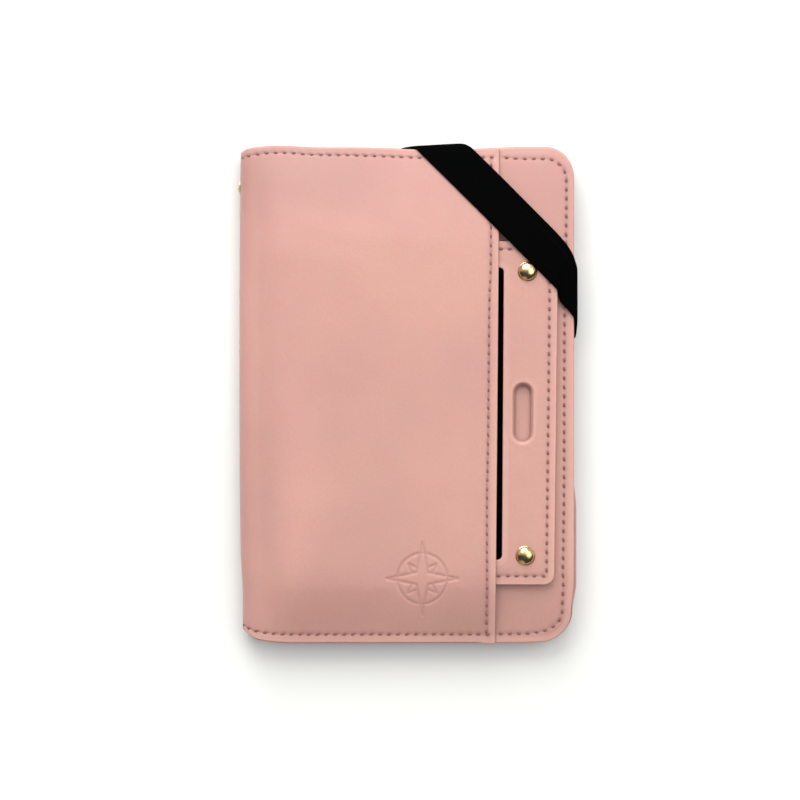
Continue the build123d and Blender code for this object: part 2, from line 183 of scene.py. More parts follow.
def loop_points(outline, inset, step):
    """Points round an outline moved inwards by inset, anticlockwise from the low right corner."""
    x0, x1, y0, y1, (r_bl, r_br, r_tr, r_tl) = outline
    sides = (x1 - x0, y1 - y0)
    left, right, low, high = x0 + inset, x1 - inset, y0 + inset, y1 - inset
    # corner x, y, radius, start angle, direction to the arc's centre
    corners = [(right, low, r_br, -90, -1, 1), (right, high, r_tr, 0, -1, -1),
               (left, high, r_tl, 90, 1, -1), (left, low, r_bl, 180, 1, 1)]
    points = []
    for k, (x, y, full, start, to_x, to_y) in enumerate(corners):
        r = max(full - inset, 0.0)
        cx, cy = x + to_x * r, y + to_y * r
        count = max(1, int(math.ceil(max(full, r) * PI / 2 / step)))
        if r < 1e-9:
            points.append((x, y))
        else:
            for i in range(count + 1):
                t = math.radians(start + 90 * i / count)
                points.append((cx + r * math.cos(t), cy + r * math.sin(t)))
        x, y, next_full, start, to_x, to_y = corners[(k + 1) % 4]
        r = max(next_full - inset, 0.0)
        t = math.radians(start)
        begin = np.array(points[-1])
        end = np.array((x + to_x * r + r * math.cos(t), y + to_y * r + r * math.sin(t)))
        count = max(1, int(round((sides[(k + 1) % 2] - full - next_full) / step)))
        points += [tuple(begin + (end - begin) * i / count) for i in range(1, count)]
    return np.array(points)


def hole_points(hole, away, step):
    """Points round a hole, a circle (x, y, radius) or an outline, at a distance from it."""
    if len(hole) == 3:
        x, y, r = hole
        count = int(2 * PI * (r + away) / step * 1.5)
        t = np.arange(count) * 2 * PI / count
        return np.stack([x + (r + away) * np.cos(t), y + (r + away) * np.sin(t)], 1)
    return loop_points(hole, -away, step)


def hole_distance(holes, x, y):
    """Distance to the nearest hole."""
    away = [np.hypot(x - h[0], y - h[1]) - h[2] if len(h) == 3 else -edge_distance(h, x, y)
            for h in holes]
    return np.min([np.full(len(x), 1e3)] + away, axis=0)


def clearance(outline, holes, x, y):
    """Distance to the nearest edge of a sheet with holes, positive in the material."""
    return np.minimum(edge_distance(outline, x, y), hole_distance(holes, x, y))


def head_side_foot(outline, inset, left):
    """Seam path beyond x = left, as three parts: out along the head, down the side, back
    along the foot."""
    loop = loop_points(outline, inset, PATH_STEP)
    loop = loop[loop[:, 0] > left]
    y = loop[:, 1]
    low, high = outline[2] + inset + 0.001, outline[3] - inset - 0.001
    side = loop[(y <= high) & (y >= low)]
    return sorted_by(loop[y > high], 0), sorted_by(side, 1, -1), sorted_by(loop[y < low], 0, -1)


# ---------------------------------------------------------------- meshes
# In every spline the first row is the stations, the second the values there.
foot_drop = spline([-74, -70.6, -68.6, -63, -57, -50, -42, -34],
                   [1.40, 1.38, 1.27, 0.82, 0.42, 0.14, 0.03, 0.0])
head_drop = spline([52, 60, 66, 70, 74], [0.0, 0.05, 0.2, 0.38, 0.6])
spine_line = spline(
    [-73, -69, -63, -57, -51.4, -45.5, -34, -22, 10, 28, 43, 66, 73],
    [0.5, 0.5, 0.56, 0.48, 0.18, -0.10, -0.24, -0.36, -0.42, -0.40, -0.33, -0.15, -0.1])


def slump(points):
    """The covers lie closer together towards the foot and, a little, the head: nothing fills
    them there. The spine's line is not quite straight either."""
    points = np.array(points, float)
    y = points[:, 1]
    points[:, 0] += spine_line(y) * smooth((-18.0 - points[:, 0]) / 26.0)
    drop = foot_drop(y) * (y < 0) + head_drop(y) * (y > 0)
    points[:, 2] -= drop * smooth((points[:, 2] - 1.9) / 7.0)
    return points


def build(name, points, tris, quads, material, rest=None, attrs=None, flat_quads=None):
    """Makes a slumped mesh object facing outwards. rest is its texture coordinates, attrs are
    float attributes, flat_quads marks the quads that are shaded flat."""
    flat = np.asarray(points, float)
    co = slump(flat)
    faces = [(np.asarray(f, np.int32), n) for f, n in ((tris, 3), (quads, 4))
             if f is not None and len(f)]
    fan = np.concatenate([f[:, [0, k, k + 1]] for f, n in faces for k in range(1, n - 1)])
    normal = np.cross(co[fan[:, 1]], co[fan[:, 2]])
    inward = np.einsum("ij,ij->i", co[fan[:, 0]], normal).sum() < 0
    corners, starts, used = [], [], 0
    for f, n in faces:
        corners.append((f[:, ::-1] if inward else f).ravel())
        starts.append(used + np.arange(len(f)) * n)
        used += len(f) * n
    corners, starts = np.concatenate(corners), np.concatenate(starts).astype(np.int32)
    mesh = bpy.data.meshes.new(name)
    mesh.vertices.add(len(co))
    mesh.vertices.foreach_set("co", (co * 0.001).astype(np.float32).ravel())
    mesh.loops.add(len(corners))
    mesh.loops.foreach_set("vertex_index", corners)
    mesh.polygons.add(len(starts))
    mesh.polygons.foreach_set("loop_start", starts)
    soft = np.ones(len(starts), bool)
    if flat_quads is not None:
        soft[len(starts) - len(flat_quads):] = ~flat_quads
    mesh.polygons.foreach_set("use_smooth", soft)
    mesh.update(calc_edges=True)
    mesh.validate()
    layer = mesh.attributes.new("rest", "FLOAT_VECTOR", "POINT")
    layer.data.foreach_set("vector", np.asarray(flat if rest is None else rest,
                                                np.float32).ravel())
    for key, values in (attrs or {}).items():
        layer = mesh.attributes.new(key, "FLOAT", "POINT")
        layer.data.foreach_set("value", np.asarray(values, np.float32))
    piece = bpy.data.objects.new(name, mesh)
    bpy.context.scene.collection.objects.link(piece)
    mesh.materials.append(material)
    return piece


def triangulate(points, edges, keep):
    """Delaunay triangles of the points, with edges kept, where keep(x, y) holds at the centroid."""
    v, _, f, *_ = delaunay_2d_cdt([Vector(p) for p in points], edges, [], 0, 1e-7, False)
    v = np.array([(a[0], a[1]) for a in v])
    f = np.array([t for t in f if len(t) == 3], np.int32)
    a, b, c = v[f[:, 0]], v[f[:, 1]], v[f[:, 2]]
    area = 0.5 * ((b[:, 0] - a[:, 0]) * (c[:, 1] - a[:, 1])
                  - (b[:, 1] - a[:, 1]) * (c[:, 0] - a[:, 0]))
    longest = np.max([np.hypot(*(p - q).T) for p, q in ((a, b), (b, c), (c, a))], axis=0)
    middle = (a + b + c) / 3
    ok = (np.abs(area) > 2e-3 * longest**2) & keep(middle[:, 0], middle[:, 1])
    f, area = f[ok], area[ok]
    f[area < 0] = f[area < 0][:, ::-1]
    used = np.unique(f)
    remap = -np.ones(len(v), int)
    remap[used] = np.arange(len(used))
    return v[used], remap[f].astype(np.int32)


def border(tris):
    """Directed edges that belong to one triangle only."""
    edges = np.concatenate([tris[:, [0, 1]], tris[:, [1, 2]], tris[:, [2, 0]]])
    ends = np.sort(edges, axis=1)
    key = ends[:, 0].astype(np.int64) * (tris.max() + 1) + ends[:, 1]
    _, inverse, count = np.unique(key, return_inverse=True, return_counts=True)
    return edges[count[inverse] == 1]


def path_distance(path, x, y):
    """Distance from each point to a 2-D polyline, and the length along it at the nearest place."""
    points = np.stack([x, y], 1)
    seg = np.diff(path, axis=0)
    length = np.maximum(np.hypot(seg[:, 0], seg[:, 1]), 1e-9)
    cum = running(length)
    away, along = np.zeros(len(x)), np.zeros(len(x))
    block = 1500                      # points measured at a time, to limit memory
    for i in range(0, len(x), block):
        q = points[i:i + block]
        rel = q[:, None, :] - path[None, :-1, :]
        t = np.clip((rel * seg[None]).sum(2) / length[None] ** 2, 0, 1)
        gap = np.hypot(rel[..., 0] - t * seg[None, :, 0], rel[..., 1] - t * seg[None, :, 1])
        nearest = gap.argmin(1)
        row = np.arange(len(q))
        away[i:i + block] = gap[row, nearest]
        along[i:i + block] = cum[nearest] + t[row, nearest] * length[nearest]
    return away, along


def seam_depth(seams, x, y):
    """How deep the leather sinks along its seams: a narrow line, least between stitches'
    neighbours, in a wider ditch."""
    cut = np.zeros(len(x))
    for path in seams:
        (x0, y0), (x1, y1) = path.min(axis=0) - 2, path.max(axis=0) + 2
        close = np.where((x > x0) & (x < x1) & (y > y0) & (y < y1))[0]
        away, along = path_distance(path, x[close], y[close])
        wave = np.cos(2 * PI * along / PITCH)      # the first stitch is centred at PITCH / 2
        # shallower along head and foot
        soft = 1 - 0.42 * smooth((np.abs(y[close]) - HALF + 5.5) / 1.5)
        line = np.exp(-(away / 0.38) ** 2) * (0.34 + 0.32 * soft - 0.34 * wave)
        ditch = 0.32 * soft * np.exp(-(away / 1.15) ** 2) * (0.85 - 0.15 * wave)
        cut[close] = np.maximum(cut[close], line + ditch)
    return cut


def sheet_points(outline, holes, rings, ring_step, step, cut_x, columns, fine):
    """Plan points of a sheet: rings along its edges, columns by a cut-off end, a fine patch
    (centre, half width, step) and a hexagonal fill."""
    x0, x1, y0, y1, _ = outline
    last = rings[-1]
    groups = []

    def add(points, need):
        ok = clearance(outline, holes, points[:, 0], points[:, 1]) >= need - 0.02
        if cut_x is not None:
            ok &= points[:, 0] > cut_x + 0.12
        groups.append(points[ok])

    for inset in rings:
        add(loop_points(outline, inset, ring_step), inset)
    for hole in holes:
        for away in rings:
            if away <= HOLE_REACH:
                add(hole_points(hole, away, ring_step), away)
    left = x0
    if cut_x is not None:
        low, high = y0 + last, y1 - last
        count = int((high - low) / step)
        ys = [y0 + d for d in rings] + [y1 - d for d in rings]
        ys += list(low + (high - low) * np.arange(1, count) / count)
        for column in (cut_x, *columns):
            groups.append(np.stack([np.full(len(ys), column), ys], 1))
            left = max(left, column)

    nx, ny = int((x1 - left) / step) + 1, int((y1 - y0) / (step * 0.866)) + 1
    gx, gy = np.meshgrid(np.arange(nx), np.arange(ny))
    x, y = (left + (gx + 0.5 * (gy % 2)) * step).ravel(), (y0 + gy * step * 0.866).ravel()
    ok = (edge_distance(outline, x, y) > last + 0.45 * step) & (x > left + 0.45 * step)
    ok &= hole_distance(holes, x, y) > HOLE_REACH + 0.45 * step
    if fine is not None:
        (cx, cy), half, fine_step = fine
        fx0, fx1, fy0, fy1 = cx - half, cx + half, cy - half, cy + half
        ok &= ~((x > fx0 - 0.4 * step) & (x < fx1 + 0.4 * step)
                & (y > fy0 - 0.4 * step) & (y < fy1 + 0.4 * step))
        row = fine_step * 0.9
        fx, fy = np.meshgrid(np.arange(fx0, fx1, fine_step), np.arange(fy0, fy1, row))
        fx = fx + (np.round(fy / row) % 2) * fine_step * 0.5
        add(np.stack([fx.ravel(), fy.ravel()], 1), last + 0.5)
    groups.append(np.stack([x, y], 1)[ok])
    points = np.concatenate(groups)
    _, first = np.unique(np.round(points, 3), axis=0, return_index=True)
    return points[np.sort(first)]


def hole_edges(points, holes, ring_step):
    """Edges along the holes' rims, as pairs of point numbers."""
    if not holes:
        return []
    number = {tuple(np.round(q, 3)): i for i, q in enumerate(points)}
    edges = []
    for hole in holes:
        ids = [number.get(tuple(np.round(q, 3))) for q in hole_points(hole, 0, ring_step)]
        edges += [(a, b) for a, b in zip(ids, ids[1:] + ids[:1])
                  if a is not None and b is not None and a != b]
    return edges


def sheet(name, outline, bottom, top, material, round_r=0.3, rings=EDGE_RINGS + SEAM_RINGS,
          ring_step=0.66, step=1.7, holes=(), cut_x=None, columns=(), seams=(), groove=0.26,
          seams_below=False, fine=None, place=None, extra=None):
    """A closed leather or cloth sheet with rounded edges.
    bottom and top are heights, or functions of x and y; seams are sunk 2-D stitch paths;
    cut_x cuts the sheet off square; place bends it into space; extra(x, y) gives the values of
    a further attribute, press."""
    points = sheet_points(outline, holes, rings, ring_step, step, cut_x, columns, fine)
    v, tris = triangulate(points, hole_edges(points, holes, ring_step),
                          lambda x, y: clearance(outline, holes, x, y) > 1e-4)
    x, y = v[:, 0], v[:, 1]
    d = np.maximum(clearance(outline, holes, x, y), 0)
    rounding = np.sqrt(np.maximum(round_r * round_r - (round_r - np.minimum(d, round_r)) ** 2, 0))
    rounding = np.where(d < round_r, round_r - rounding, 0)
    cut = seam_depth(seams, x, y)
    z_top = (top(x, y) if callable(top) else top) - rounding
    z_low = (bottom(x, y) if callable(bottom) else bottom) + rounding
    if seams_below:
        z_low = z_low + cut * groove
    else:
        z_top = z_top - cut * groove
    n = len(v)
    flat = np.concatenate([np.stack([x, y, z_top], 1), np.stack([x, y, z_low], 1)])
    rim_edges = border(tris)
    a, b = rim_edges[:, 0], rim_edges[:, 1]
    quads = np.stack([b, a, a + n, b + n], 1)
    wall = np.zeros(2 * n)
    wall[np.unique(rim_edges)] = 1
    wall[np.unique(rim_edges) + n] = 1
    d2, x2, y2 = np.tile(d, 2), np.tile(x, 2), np.tile(y, 2)
    edge_reach, wall_reach = 0.55, 0.12
    attrs = {
        "edge": np.exp(-(d2 / edge_reach) ** 2),
        "wall": np.maximum(wall, np.exp(-(d2 / wall_reach) ** 2)),
        # where the leather gets a painted highlight: the border outside the seam line
        "painted_rim_highlight": 1 - smooth((d2 - SEAM + 0.7) / 0.6) if len(seams) else np.zeros(2 * n),
        "cut": np.tile(cut, 2),
    }
    if extra is not None:
        attrs["press"] = extra(x2, y2)
    flat_quads = None
    if cut_x is not None:
        # the cut-off end is no edge: only the sheet's own outline counts there
        flat_quads = (x[a] < cut_x + 1e-3) & (x[b] < cut_x + 1e-3)
        ends = edge_distance(outline, x2, y2)
        for key, reach in (("edge", edge_reach), ("wall", wall_reach)):
            attrs[key] = np.where(x2 < cut_x + 0.6, np.exp(-(ends / reach) ** 2), attrs[key])
    return build(name, flat if place is None else place(flat),
                 np.concatenate([tris, tris[:, ::-1] + n]), quads, material, flat, attrs,
                 flat_quads)


def lift(path, height, place, below):
    """A 2-D path raised onto a surface: points and outward normals."""
    points = np.stack([path[:, 0], path[:, 1], height(path[:, 0], path[:, 1])], 1)
    above = points + np.array([0, 0, 0.2 * (-1.0 if below else 1.0)])
    if place is not None:
        points, above = place(points), place(above)
    return points, unit(above - points)


def stitches(name, paths, height, seed, place=None, below=False, sink=0.11):
    """Separate lock stitches along each path on a surface: plump short threads whose ends dive
    into the leather."""
    half_width, half_height = 0.36, 0.25
    rings, sides = 9, 10
    rng = np.random.default_rng(seed)
    v = np.linspace(-1, 1, rings)
    taper = np.sqrt(np.maximum(1 - np.abs(v) ** 3.2, 0.03))
    angle = np.arange(sides) * 2 * PI / sides
    j = np.arange(sides)
    j2 = (j + 1) % sides
    verts, rest, tris, quads, base = [], [], [], [], 0
    for path in paths:
        points, normals = lift(path, height, place, below)
        cum = running3(points)
        for k in range(int(cum[-1] / PITCH)):
            centre = (k + 0.5) * PITCH + rng.normal(0, 0.04)
            length = STITCH * (1 + rng.normal(0, 0.03))
            s = centre + v * length / 2
            if s[0] < 0.1 or s[-1] > cum[-1] - 0.1:
                continue
            line = at_lengths(s, cum, points)
            up = unit(at_lengths(s, cum, normals))
            ahead = line[-1] - line[0]
            ahead /= np.linalg.norm(ahead)
            across = unit(np.cross(up, ahead))
            slant = 0.05 + rng.normal(0, 0.04)
            rise = -sink - 0.3 * v**2 * np.abs(v) + rng.normal(0, 0.012)
            line = line + up * rise[:, None] + across * (slant * v)[:, None]
            for i in range(rings):
                verts.append(line[i] + np.cos(angle)[:, None] * across[i] * half_width * taper[i]
                             + np.sin(angle)[:, None] * up[i] * half_height * taper[i])
                rest.append(np.stack([np.full(sides, s[i]), angle * 0.3,
                                      np.full(sides, float(k))], 1))
            for i in range(rings - 1):
                a = base + i * sides
                quads.append(np.stack([a + j, a + j2, a + sides + j2, a + sides + j], 1))
            verts.append(np.array([line[0] - ahead * 0.02, line[-1] + ahead * 0.02]))
            rest.append(np.array([[s[0], 0, k], [s[-1], 0, k]], float))
            tip = base + rings * sides
            last = tip - sides
            tris.append(np.stack([np.full(sides, tip), base + j2, base + j], 1))
            tris.append(np.stack([np.full(sides, tip + 1), last + j, last + j2], 1))
            base = tip + 2
    return build(name, np.concatenate(verts), np.concatenate(tris), np.concatenate(quads),
                 THREAD, np.concatenate(rest))


def lathe(name, profile, centres, material, sides=56, along_x=False):
    """Revolves (radius, height) points about an axis through each centre, +z or, along_x, -x.
    The first and last radius are 0."""
    angle = np.arange(sides) * 2 * PI / sides
    j = np.arange(sides)
    j2 = (j + 1) % sides
    body = profile[1:-1]
    rings = [np.stack([r * np.cos(angle), r * np.sin(angle), np.full(sides, h)], 1)
             for r, h in body]
    poles = np.array([[0, 0, profile[0][1]], [0, 0, profile[-1][1]]], float)
    shape = np.concatenate(rings + [poles])
    if along_x:
        shape = np.stack([-shape[:, 2], shape[:, 1], shape[:, 0]], 1)
    verts, tris, quads = [], [], []
    for k, centre in enumerate(centres):
        base = k * len(shape)
        verts.append(shape + np.array(centre))
        for i in range(len(body) - 1):
            a = base + i * sides
            quads.append(np.stack([a + j, a + j2, a + sides + j2, a + sides + j], 1))
        pole = base + len(body) * sides
        last = pole - sides
        tris.append(np.stack([np.full(sides, pole), base + j2, base + j], 1))
        tris.append(np.stack([np.full(sides, pole + 1), last + j, last + j2], 1))
    return build(name, np.concatenate(verts), np.concatenate(tris), np.concatenate(quads),
                 material)


# ---------------------------------------------------------------- shader nodes
def srgb(r, g, b):
    return tuple((c / 255) / 12.92 if c <= 10 else ((c / 255 + 0.055) / 1.055) ** 2.4
                 for c in (r, g, b)) + (1.0,)


class Graph:
    """Short ways to add nodes to the tree of a material or world."""

    def __init__(self, owner):
        owner.use_nodes = True
        self.tree = owner.node_tree

    def new(self, kind, **props):
        node = self.tree.nodes.new(kind)
        for key, value in props.items():
            setattr(node, key, value)
        return node

    def link(self, a, b):
        self.tree.links.new(a, b)

    def feed(self, socket, value):
        """Links a socket, or sets it to a plain value."""
        if isinstance(value, (int, float, tuple)):
            socket.default_value = value
        else:
            self.link(value, socket)

    def calc(self, op, a, b, clamp=False):
        node = self.new("ShaderNodeMath", operation=op, use_clamp=clamp)
        self.feed(node.inputs[0], a)
        self.feed(node.inputs[1], b)
        return node.outputs[0]

    def times(self, a, b, clamp=False):
        return self.calc("MULTIPLY", a, b, clamp)

    def plus(self, a, b):
        return self.calc("ADD", a, b)

    def ramp(self, value, span, to, **props):
        """Maps value from the range span to the range to, clamped."""
        node = self.new("ShaderNodeMapRange", **props)
        node.inputs["From Min"].default_value, node.inputs["From Max"].default_value = span
        node.inputs["To Min"].default_value, node.inputs["To Max"].default_value = to
        self.link(value, node.inputs["Value"])
        return node.outputs[0]

    def split(self, vector):
        node = self.new("ShaderNodeSeparateXYZ")
        self.link(vector, node.inputs[0])
        return node.outputs


class Material(Graph):
    """A material whose textures are laid out in millimetres: by a piece's stored rest position,
    or by object coordinates for a CAD piece."""

    def __init__(self, name, cad=False):
        self.mat = bpy.data.materials.new(name)
        super().__init__(self.mat)
        self.shader = self.tree.nodes["Principled BSDF"]
        if cad:
            coords = self.new("ShaderNodeTexCoord")
            scale = self.new("ShaderNodeVectorMath", operation="SCALE")
            self.link(coords.outputs["Object"], scale.inputs[0])
            scale.inputs["Scale"].default_value = 1000
            self.coord = scale.outputs[0]
        else:
            self.coord = self.attr("rest", "Vector")

    def attr(self, name, output="Fac"):
        return self.new("ShaderNodeAttribute", attribute_name=name).outputs[output]

    def scaled(self, x, y, z):
        node = self.new("ShaderNodeVectorMath", operation="MULTIPLY")
        self.link(self.coord, node.inputs[0])
        node.inputs[1].default_value = (x, y, z)
        return node.outputs[0]

    def texture(self, kind, vec, output, values, **props):
        node = self.new(kind, **props)
        for key, value in values.items():
            node.inputs[key].default_value = value
        self.link(vec or self.coord, node.inputs["Vector"])
        return node.outputs[output]

    def noise(self, scale, detail=3, rough=0.55, vec=None, distortion=0.0):
        return self.texture("ShaderNodeTexNoise", vec, "Fac", {
            "Scale": scale, "Detail": detail, "Roughness": rough, "Distortion": distortion})

    def voronoi(self, scale, feature="F1", random=1.0):
        return self.texture("ShaderNodeTexVoronoi", None, "Distance",
                            {"Scale": scale, "Randomness": random}, feature=feature)

    def wave(self, scale, direction="X", vec=None, distortion=0.0):
        return self.texture("ShaderNodeTexWave", vec, "Fac",
                            {"Scale": scale, "Distortion": distortion},
                            bands_direction=direction)

    def mix(self, fac, a, b, mode="MIX"):
        node = self.new("ShaderNodeMix", data_type="RGBA", blend_type=mode)
        for i, value in ((0, fac), (6, a), (7, b)):
            self.feed(node.inputs[i], value)
        return node.outputs[2]

    def dim(self, color, value):
        """The colour times a grey of the given value."""
        grey = self.new("ShaderNodeCombineColor")
        for i in range(3):
            self.link(value, grey.inputs[i])
        return self.mix(1.0, color, grey.outputs[0], "MULTIPLY")

    def bump(self, height, strength, distance, normal=None):
        node = self.new("ShaderNodeBump")
        node.inputs["Strength"].default_value = strength
        node.inputs["Distance"].default_value = distance
        self.link(height, node.inputs["Height"])
        if normal is not None:
            self.link(normal, node.inputs["Normal"])
        return node.outputs["Normal"]

    def set(self, **values):
        for key, value in values.items():
            self.feed(self.shader.inputs[key.replace("_", " ")], value)


# ---------------------------------------------------------------- materials
ROSE = srgb(174, 131, 121)
ROSE_WARM = srgb(178, 135, 123)
ROSE_COOL = srgb(168, 125, 118)
ROSE_PALE = srgb(192, 153, 143)
ROSE_DEEP = srgb(118, 70, 68)
EDGE_PAINT = srgb(134, 80, 76)
BAND_WAVE = 0.5236                 # wave scale that gives a 0.6 mm repeat


def painted_cover_light(m, color, x, y):
    """Painted light and shade over the outer leather: painted shade at the foot, at the head and
    where it turns towards the spine, with a painted highlight in a narrow band beside the spine."""

    def product(first, *others):
        for other in others:
            first = m.times(first, other)
        return first

    # painted shade towards the foot, strongest towards the fore-edge
    foot = product(m.ramp(y, span=(-66.0, -51.0), to=(1, 0)),
                   m.ramp(x, span=(-8.0, 14.0), to=(0.2, 1.0)))
    # painted shade at the head, on the spine's side
    head = product(m.ramp(y, span=(49.0, 62.0), to=(0, 1)),
                   m.ramp(x, span=(-14.0, 0.0), to=(1, 0)))
    # painted highlight: a lighter band beside the spine
    painted_sheen = product(m.ramp(x, span=(-40.0, -33.5), to=(0, 1)),
                     m.ramp(x, span=(-31.0, -21.0), to=(1, 0)),
                     m.ramp(y, span=(-62.0, -48.0), to=(0, 1)),
                     m.ramp(y, span=(-14.0, 16.0), to=(1, 0)))
    # painted shade where the cover turns towards the spine
    turn = m.ramp(x, span=(-47.0, -41.0), to=(1, 0))
    # share by which each patch of painted light or shade lightens or darkens
    painted_sheen_gain, turn_shade_loss, foot_shade_loss, head_shade_loss = 0.065, 0.045, 0.105, 0.085
    value = m.calc("SUBTRACT", m.plus(1.0, m.times(painted_sheen, painted_sheen_gain)),
                   m.times(turn, turn_shade_loss))
    value = m.calc("SUBTRACT", value, m.plus(m.times(foot, foot_shade_loss), m.times(head, head_shade_loss)))
    return m.dim(color, value)


def leather(name, base=ROSE, warm=ROSE_WARM, cool=ROSE_COOL, rough=0.5, grain=1.0, press=None,
            painted_light=False):
    """Pebbled leather, with a painted highlight on the border outside the seams and painted shade
    in the seam grooves. press is how much painted shade darkens pressed-in places; the last flag
    lays the cover's painted light and shade over it.
    """
    m = Material(name)
    big = m.ramp(m.noise(scale=0.028, detail=2, rough=0.5), span=(0.35, 0.65), to=(0.18, 0.86))
    patch = m.ramp(m.noise(scale=0.16), span=(0.3, 0.7), to=(0, 1))
    fine = m.noise(scale=1.7, rough=0.6)
    color = m.mix(big, cool, warm)
    patch_share = 0.35
    color = m.mix(m.times(patch, patch_share), color, base)
    color = m.dim(color, m.ramp(fine, span=(0.3, 0.75), to=(0.955, 1.03)))

    painted_rim_highlight, edge, wall, cut = [m.attr(key) for key in ("painted_rim_highlight", "edge", "wall", "cut")]
    wear = m.ramp(m.noise(scale=0.5, rough=0.6), span=(0.35, 0.7), to=(0.15, 0.55))
    worn = m.times(edge, wear, clamp=True)
    where = m.split(m.coord)
    x, y = where[0], where[1]
    color = m.mix(m.ramp(y, span=(38.0, 66.0), to=(0.0, 0.8)), color, cool)
    # painted highlight on the border outside the seams, stronger towards the foot; this is its
    # share
    lip = m.ramp(y, span=(-66.0, 66.0), to=(0.34, 0.12))
    # painted light and shade over the outer covers
    if painted_light:
        color = painted_cover_light(m, color, x, y)
    color = m.mix(m.times(painted_rim_highlight, lip), color, ROSE_PALE)
    color = m.mix(worn, color, ROSE_PALE)
    # painted shade: the seam grooves are darkened with the deep colour
    seam_shade_share, wall_share = 0.36, 0.62      # of the deep colour in seams, of paint on edges
    color = m.mix(m.times(cut, seam_shade_share), color, ROSE_DEEP)
    color = m.mix(m.times(wall, wall_share), color, EDGE_PAINT)
    # painted shade in pressed-in places: the lines of the rose and the walls of the thumb slot
    if press is not None:
        color = m.mix(m.times(m.attr("press"), press), color, ROSE_DEEP)

    # pebble grain: fine cells with soft creases, over a slow rise and fall
    cells = m.voronoi(scale=1.25 * grain, feature="SMOOTH_F1", random=0.9)
    small_cells = m.voronoi(scale=2.6 * grain)
    pores = m.noise(scale=6.0, detail=2, rough=0.6)
    cell_gain, small_gain, pore_gain = -0.55, -0.3, 0.35
    height = m.plus(m.times(cells, cell_gain), m.times(small_cells, small_gain))
    height = m.plus(height, m.times(pores, pore_gain))
    creases = m.noise(scale=0.35, detail=4, rough=0.6, distortion=0.4)
    normal = m.bump(creases, strength=0.35, distance=0.00012)
    normal = m.bump(height, strength=0.42, distance=0.00007, normal=normal)
    fine_share, patch_share = 0.5, 0.5
    mottle = m.plus(m.times(fine, fine_share), m.times(patch, patch_share))
    m.set(Base_Color=color, Normal=normal,
          Roughness=m.ramp(mottle, span=(0.2, 0.8), to=(rough - 0.05, rough + 0.07)),
          Specular_IOR_Level=0.42, Sheen_Weight=0.06, Sheen_Roughness=0.5,
          Subsurface_Weight=0.35, Subsurface_Radius=(1.0, 0.36, 0.26), Subsurface_Scale=0.0011)
    return m.mat


def thread():
    m = Material("thread")
    where = m.split(m.coord)
    twist = m.new("ShaderNodeCombineXYZ")
    along_gain, round_gain = 1.0, 1.6        # slant of the strands
    m.link(m.plus(m.times(where[0], along_gain), m.times(where[1], round_gain)), twist.inputs[0])
    strand = m.wave(scale=1.1, vec=twist.outputs[0])
    fuzz = m.noise(scale=9.0, rough=0.7)
    strand_share, fuzz_gain = 0.7, 0.5
    color = m.mix(m.times(strand, strand_share), srgb(122, 71, 71), srgb(147, 91, 88))
    color = m.mix(m.ramp(fuzz, span=(0.4, 0.7), to=(0, 0.3)), color, srgb(106, 60, 60))
    normal = m.bump(m.plus(strand, m.times(fuzz, fuzz_gain)), strength=0.7, distance=0.00012)
    m.set(Base_Color=color, Roughness=m.ramp(fuzz, span=(0.3, 0.7), to=(0.55, 0.75)),
          Normal=normal, Sheen_Weight=0.2)
    return m.mat


def elastic():
    """Black ribbed webbing."""
    m = Material("elastic_weave")
    ribs = m.wave(scale=BAND_WAVE * 1.2, direction="Y")
    weft = m.wave(scale=BAND_WAVE * 2.4, distortion=1.2)
    fibre = m.noise(scale=7.0, detail=4, rough=0.7)
    flecks = m.ramp(m.noise(scale=2.6, rough=0.65, vec=m.scaled(1.0, 2.2, 1)),
                    span=(0.52, 0.72), to=(0, 1))
    black, fleck, thread_top = [(0.0007, 0.0009, 0.0008, 1), (0.0022, 0.0025, 0.0024, 1),
                                (0.0016, 0.0018, 0.0017, 1)]
    fleck_share, height_share = 0.55, 0.5
    color = m.mix(m.times(flecks, fleck_share), black, fleck)
    color = m.mix(m.ramp(m.times(ribs, weft), span=(0.1, 0.9), to=(0.0, 0.5)), color, thread_top)
    height = m.plus(m.times(ribs, height_share), m.times(weft, height_share))
    height = m.plus(height, m.times(fibre, height_share))
    m.set(Base_Color=color, Roughness=m.ramp(fibre, span=(0.3, 0.7), to=(0.8, 0.97)),
          Normal=m.bump(height, strength=0.8, distance=0.00016), Specular_IOR_Level=0.012)
    return m.mat


def cloth(name, dark, light, pitch=0.45, rough=0.8, specular=0.25, sheen=0.1):
    """A plain weave: warp and weft threads crossing over and under."""
    m = Material(name)
    scale = BAND_WAVE * (0.6 / pitch)
    warp = m.wave(scale, distortion=0.15)
    weft = m.wave(scale, direction="Y", distortion=0.15)
    warp_over = m.times(warp, m.ramp(weft, span=(0, 1), to=(1, 0.35)))
    weft_over = m.times(weft, m.ramp(warp, span=(0, 1), to=(1, 0.35)))
    weave = m.calc("MAXIMUM", warp_over, weft_over)
    slub = m.noise(scale=0.5, rough=0.6, vec=m.scaled(1, 6, 1))
    blot = m.noise(scale=0.05, detail=2, rough=0.5)
    weave_share, slub_gain = 0.8, 0.3
    color = m.mix(m.times(weave, weave_share), dark, light)
    color = m.mix(m.ramp(slub, span=(0.4, 0.75), to=(0, 0.35)), color, dark)
    color = m.mix(m.ramp(blot, span=(0.35, 0.7), to=(0, 0.2)), color, light)
    height = m.plus(weave, m.times(slub, slub_gain))
    m.set(Base_Color=color, Normal=m.bump(height, strength=0.55, distance=0.00012),
          Roughness=m.ramp(slub, span=(0.3, 0.7), to=(rough - 0.08, rough + 0.08)),
          Specular_IOR_Level=specular, Sheen_Weight=sheen)
    return m.mat


